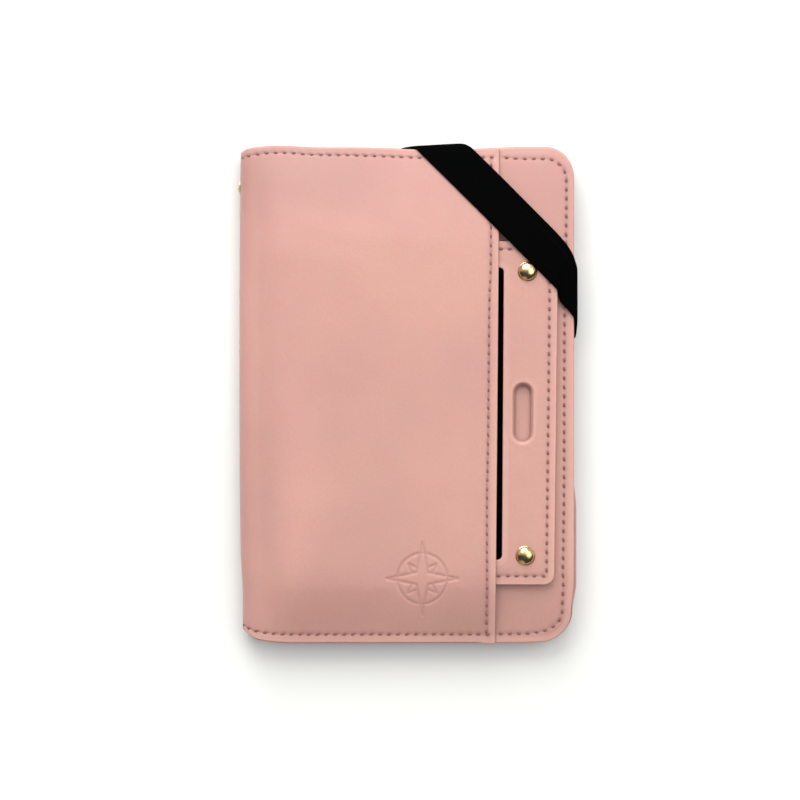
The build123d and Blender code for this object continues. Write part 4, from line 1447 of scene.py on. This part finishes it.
def band_plan(c, w):
    """One line of the band seen from above, and the length along it. c is its x + y, w its
    place from the inner edge (0) to the outer (1)."""
    head_r, fore_r = 0.8 + 1.7 * w, 3.2 + 5.2 * w      # how widely it turns over each edge
    head_y = HALF + 0.62 + 0.95 * w
    step_down = 2.7 * (1 - w) ** 1.5     # length it spends going down over the sleeve's edge
    turn = np.linspace(0, PI / 2, 26)
    turn_x = c - head_y + head_r - head_r * PI / 2
    start_x, end_y = -2.1 + 15.6 * w, 17.0 + 16.6 * w
    head = np.stack([np.linspace(start_x, turn_x, 14)[:-1], np.full(13, head_y)], 1)
    head_turn = np.stack([turn_x + head_r * turn, head_y - head_r * (1 - np.cos(turn))], 1)
    begin = np.array([c - head_y + head_r, head_y - head_r])
    end = np.array([BAND_X - fore_r, c - BAND_X + fore_r])
    straight = begin + (end - begin) * np.linspace(0, 1, 150)[1:-1, None]
    back = turn[::-1]
    fore_turn = np.stack([BAND_X - fore_r * (1 - np.cos(back)),
                          c - BAND_X + fore_r - fore_r * (PI / 2 - back)], 1)
    for part in (fore_turn, straight):
        part[:, 1] -= step_down * smooth((part[:, 0] - 44.1) / 1.0)
    fore = np.stack([np.full(13, BAND_X), np.linspace(fore_turn[-1, 1], end_y, 14)[1:]], 1)
    p = np.concatenate([head, head_turn, straight, fore_turn, fore])
    cum = running(np.hypot(*np.diff(p, axis=0).T))
    t = np.linspace(0, cum[-1], BAND_POINTS)
    return at_lengths(t, cum, p), t


def band_heights(plans):
    """Heights of all lines over the cover, and the first and last point of each that lies on it."""
    heights, marks = [], []
    for p, t in plans:
        on_cover = np.where((p[:, 1] <= HALF + 0.1 + 0.22) & (p[:, 0] <= FRONT_X + 0.2 + 0.3))[0]
        first, last = on_cover[0], on_cover[-1]
        z = np.zeros(BAND_POINTS)
        on = slice(first, last + 1)
        z[on] = taut(t[on], terrain(p[on, 0], p[on, 1]))
        heights.append(z)
        marks.append((first, last))
    # an elastic web is stiff across its width: even out the height across it on the cover
    z = np.array(heights)
    raw = z.copy()
    weights = bell(10, 5.0)
    for j in range(max(m[0] for m in marks), min(m[1] for m in marks) + 1):
        z[:, j] = np.maximum(blur(z[:, j], weights), raw[:, j] - 0.1)
    return z, marks


def band_line(p, t, z, first, last):
    """A line in space: it drops past both edges and tucks in between the covers."""
    z = z.copy()
    z[first:last + 1] += 0.04 + BAND_T / 2
    down = (t[first] - t[:first]) / (t[first] - t[0])
    z[:first] = BAND_LOW + (z[first] - BAND_LOW) * np.cos(down * PI / 2) ** 0.85
    down = (t[last + 1:] - t[last]) / (t[-1] - t[last])
    z[last + 1:] = (BAND_LOW + (z[last] - BAND_LOW)
                    * np.maximum(np.cos(down * PI / 2), 0) ** 0.85)
    p = np.concatenate([p, z[:, None]], 1)
    fade = np.linspace(0, 1, 6, endpoint=False)[:, None]
    head_tuck = p[0] + (1 - fade) * np.array([-0.3, -1.7, -0.45])
    fore_tuck = p[-1] + (1 - fade[::-1]) * np.array([-1.7, -0.3, -0.45])
    p = np.concatenate([head_tuck, p, fore_tuck])
    # round the turns: space the points evenly, then smooth along the length
    cum = running3(p)
    p = at_lengths(np.linspace(0, cum[-1], BAND_POINTS), cum, p)
    rounded = np.stack([blur(column, bell(6, 1.8)) for column in p.T], 1)
    rounded[0], rounded[-1] = p[0], p[-1]
    return rounded


def band_quads(rows, cols):
    """Faces of two grids of points, one over the other, closed round their edges."""
    under = rows * cols
    i, j = np.meshgrid(np.arange(rows - 1), np.arange(cols - 1), indexing="ij")
    a = (i * cols + j).ravel()
    faces = [(a, a + 1, a + cols + 1, a + cols),
             (a + under, a + cols + under, a + cols + 1 + under, a + 1 + under)]
    a = np.arange(cols - 1)
    faces.append((a, a + under, a + 1 + under, a + 1))
    a = a + (rows - 1) * cols
    faces.append((a, a + 1, a + 1 + under, a + under))
    a = np.arange(rows - 1) * cols
    faces.append((a, a + cols, a + cols + under, a + under))
    a = a + cols - 1
    faces.append((a, a + under, a + cols + under, a + cols))
    return np.concatenate([np.stack(face, 1) for face in faces])


def elastic_band():
    plans = [band_plan(c, i / (BAND_LINES - 1))
             for i, c in enumerate(np.linspace(BAND_IN, BAND_OUT, BAND_LINES))]
    heights, marks = band_heights(plans)
    grid = np.array([band_line(p, t, z, *mark)
                     for (p, t), z, mark in zip(plans, heights, marks)])
    weights = bell(3, 1.6)
    for j in range(BAND_POINTS):
        for k in range(3):
            grid[3:-3, j, k] = blur(grid[:, j, k], weights)[3:-3]
    up = np.cross(np.gradient(grid, axis=1), np.gradient(grid, axis=0))
    up /= np.maximum(np.linalg.norm(up, axis=2), 1e-9)[:, :, None]
    if up[BAND_LINES // 2, BAND_POINTS // 2, 2] < 0:
        up = -up
    v = np.linspace(-1, 1, BAND_LINES)
    half = (BAND_T / 2) * np.sqrt(np.maximum(1 - np.abs(v) ** 14, 0.06))
    ribs = np.cos(np.arange(BAND_LINES) * 2 * PI * 15 / (BAND_LINES - 1))
    off = up * (half + 0.035 * ribs * (1 - np.abs(v) ** 10))[:, None, None]
    along = running3(grid[BAND_LINES // 2])
    across = np.linspace(0, (BAND_OUT - BAND_IN) / math.sqrt(2), BAND_LINES)
    shape = (BAND_LINES, BAND_POINTS)
    rest = np.stack([np.broadcast_to(along, shape), np.broadcast_to(across[:, None], shape),
                     np.zeros(shape)], 2)
    verts = np.concatenate([(grid + off).reshape(-1, 3), (grid - off).reshape(-1, 3)])
    rest = np.concatenate([rest.reshape(-1, 3), (rest + np.array([0, 0, 1.0])).reshape(-1, 3)])
    return build("elastic_band_web", verts, None, band_quads(*shape), ELASTIC, rest)


def band_tab(name, x0, x1, y0, y1):
    """A sewn-in end of the band."""
    return sheet(name, (x0, x1, y0, y1, (0.3,) * 4), 0.9,
                 lambda x, y: 1.42 + 0.02 * np.cos(x * 5), ELASTIC, round_r=0.2,
                 rings=[0, 0.05, 0.15, 0.3, 0.6], ring_step=0.8, step=0.8)


band = elastic_band()
tab_head = band_tab("band_anchor_head", -2.1, 13.9, HALF - 7.8, HALF - 2.9)
tab_fore = band_tab("band_anchor_fore", BACK_X - 7.8, BACK_X - 2.9, 18.2, 34.2)


# ---------------------------------------------------------------- bodies
def assign(replaced):
    if replaced:
        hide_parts(*replaced)


def ride(body, *pieces):
    """Each piece is (object, slot, CAD pieces it replaces...)."""
    for piece, slot, *replaced in pieces:
        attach(piece, body)
        assign(replaced)


def blend(body_a, body_b, start, end, *pieces):
    """The same for pieces that reach from one body to another: each has its placement baked into
    its mesh, and the CAD pieces it replaces are hidden.
    """
    for piece, slot, *replaced in pieces:
        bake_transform(piece)
        assign(replaced)


ride("front_cover",
     (front_skin, "outer_leather", "front_cover_skin"),
     (front_seam, "thread", "front_seam_thread"),
     (pocket_seam, "thread", "pocket_edge_thread"),
     (front_lining, "lining", "front_lining"))
for node, (panel, seam) in card_panels.items():
    ride("front_cover", (panel, "inner_leather", node), (seam, "thread"))
blend("spine", "front_cover", (-0.0492, 0, 0.0052), (-0.0435, 0, 0.0094),
      (pocket, "outer_leather", "slip_pocket_panel"),
      (spine_seams, "thread"),
      (lining_front, "lining"))
blend("back_cover", "spine", (-0.0435, 0, -0.0002), (-0.0492, 0, 0.0040),
      (back_skin, "outer_leather", "back_cover_skin", "spine_skin"),
      (back_seam, "thread", "back_seam_thread"),
      (lining_back, "lining", "spine_lining"))
ride("back_cover",
     (back_lining, "lining", "back_lining"),
     (passport, "inner_leather", "passport_pocket"),
     (passport_seam, "thread"),
     (tab_head, "elastic", "band_anchor_tabs"),
     (tab_fore, "elastic"))
ride("id_sleeve",
     (sleeve_front, "outer_leather", "sleeve_front"),
     (sleeve_back, "outer_leather", "sleeve_back"),
     (spacer, "outer_leather", "sleeve_spacer"),
     (liner, "black_liner", "sleeve_liner"),
     (sleeve_seam, "thread", "sleeve_seam_thread"),
     (caps, "rivet_metal", "rivet_caps"),
     (backs, "rivet_metal", "rivet_backs"))
ride("spine", (stud, "rivet_metal", "spine_stud"))
blend("back_cover", "corner_band", (0, 0, 0.0017), (0, 0, 0.0090),
      (band, "elastic", "elastic_band"))
ride("id_sleeve", (window, "clear_film", "sleeve_window_film"))
ride("front_cover", (front_board, "board", "front_cover_board"))
ride("back_cover", (back_board, "board", "back_cover_board"))
ride("spine", (strip_card, "board", "spine_strip"))

washer_gold = gold("gold_metal_washer", cad=True)
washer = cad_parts["spine_stud_washer"].data
washer.materials.clear()
washer.materials.append(washer_gold)


# ---------------------------------------------------------------- floor
def floor_paper():
    m = Material("floor_paper", cad=True)
    tint = m.noise(scale=0.02, rough=0.5)
    color = m.mix(m.ramp(tint, span=(0.3, 0.7), to=(0, 1)),
                  (0.634, 0.640, 0.626, 1), (0.646, 0.650, 0.638, 1))
    m.set(Base_Color=color, Roughness=0.9, Specular_IOR_Level=0.1,
          Normal=m.bump(m.noise(scale=1.2, rough=0.6), strength=0.05, distance=0.0001))
    return m.mat


paper = floor_paper()
FLOOR_HALF, FLOOR_Z = 1.6, -0.00014
floor_mesh = bpy.data.meshes.new("floor")
floor_mesh.from_pydata([(x * FLOOR_HALF, y * FLOOR_HALF, FLOOR_Z)
                        for x, y in ((-1, -1), (1, -1), (1, 1), (-1, 1))], [], [(0, 1, 2, 3)])
floor = bpy.data.objects.new("floor", floor_mesh)
bpy.context.scene.collection.objects.link(floor)
floor_mesh.materials.append(paper)
floor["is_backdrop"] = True


# ---------------------------------------------------------------- light
def studio_world():
    world = bpy.data.worlds.new("studio")
    bpy.context.scene.world = world
    g = Graph(world)
    ambient = 1.58
    direction = g.new("ShaderNodeTexCoord").outputs["Generated"]
    y = g.split(direction)["Y"]

    def fade(value, span, to):
        return g.ramp(value, span, to, interpolation_type="SMOOTHSTEP")

    def toward(axis, span, to):
        """Brightness by how closely a direction points along axis."""
        node = g.new("ShaderNodeVectorMath", operation="DOT_PRODUCT")
        g.link(direction, node.inputs[0])
        node.inputs[1].default_value = Vector(axis).normalized()
        return fade(node.outputs["Value"], span, to)

    # soft even light, a little weaker from the foot side
    even = g.tree.nodes["Background"]
    g.link(fade(y, span=(-0.62, 0.5), to=(ambient * 0.32, ambient)), even.inputs["Strength"])
    even.inputs["Color"].default_value = (1.0, 0.99, 0.98, 1)
    # what shiny things see: a softbox towards the head, a window to one side, the darker
    # room at the foot
    room = fade(y, span=(-0.12, 0.25), to=(0.05, 0.62))
    softbox = toward((-0.1, 0.62, 0.8), span=(0.86, 0.93), to=(0.0, 0.85))
    side = toward((0.55, -0.05, 0.85), span=(0.93, 0.965), to=(0.0, 0.9))
    low = toward((-0.3, -0.75, 0.35), span=(0.93, 0.98), to=(0.0, 0.5))
    strength = g.plus(g.plus(room, softbox), g.plus(side, low))
    shine = g.new("ShaderNodeBackground")
    g.link(strength, shine.inputs["Strength"])
    shine.inputs["Color"].default_value = (1.0, 0.985, 0.965, 1)
    rays = g.new("ShaderNodeLightPath")
    mixer = g.new("ShaderNodeMixShader")
    g.link(rays.outputs["Is Glossy Ray"], mixer.inputs[0])
    g.link(even.outputs[0], mixer.inputs[1])
    g.link(shine.outputs[0], mixer.inputs[2])
    g.link(mixer.outputs[0], g.tree.nodes["World Output"].inputs["Surface"])


def area(name, place, size, power, color):
    """A rectangular light aimed at the origin."""
    light = bpy.data.lights.new(name, "AREA")
    light.shape = "RECTANGLE"
    light.size, light.size_y = size
    light.energy = power
    light.color = color
    lamp = bpy.data.objects.new(name, light)
    lamp.location = place
    lamp.rotation_euler = (-Vector(place)).to_track_quat("-Z", "Y").to_euler()
    bpy.context.scene.collection.objects.link(lamp)


studio_world()
area("softbox", place=(-0.10, 0.46, 0.47), size=(0.60, 0.40), power=3.3, color=(1.0, 0.985, 0.97))
area("low", place=(-0.20, 0.85, 0.33), size=(0.6, 0.3), power=3.5, color=(1.0, 0.99, 0.98))
area("fill", place=(0.35, 0.1, 0.6), size=(0.5, 0.5), power=1.2, color=(0.98, 0.99, 1.0))

# ---------------------------------------------------------------- camera
SENSOR = 36
CAMERA_Z = 0.9
VIEW_WIDTH, VIEW_Z = 0.2358, 0.0095    # width seen at that height
camera_data = bpy.data.cameras.new("camera")
camera_data.sensor_width = SENSOR
camera_data.lens = SENSOR * (CAMERA_Z - VIEW_Z) / VIEW_WIDTH
camera_data.clip_start, camera_data.clip_end = 0.01, 10
camera = bpy.data.objects.new("camera", camera_data)
camera.location = (-0.00206, -0.00133, CAMERA_Z)
scene = bpy.context.scene
scene.collection.objects.link(camera)
scene.camera = camera
scene.view_settings.view_transform = "Standard"
scene.view_settings.look = "None"


# ---------------------------------------------------------------- sizes
def plain(box):
    """A bounding box as plain lists of floats."""
    if isinstance(box, dict):
        return {key: plain(value) for key, value in box.items()}
    return [[float(c) for c in v] if hasattr(v, "__len__") else float(v) for v in box]


visual_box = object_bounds()
{"cad": plain(cad_box), "visual": plain(visual_box)}
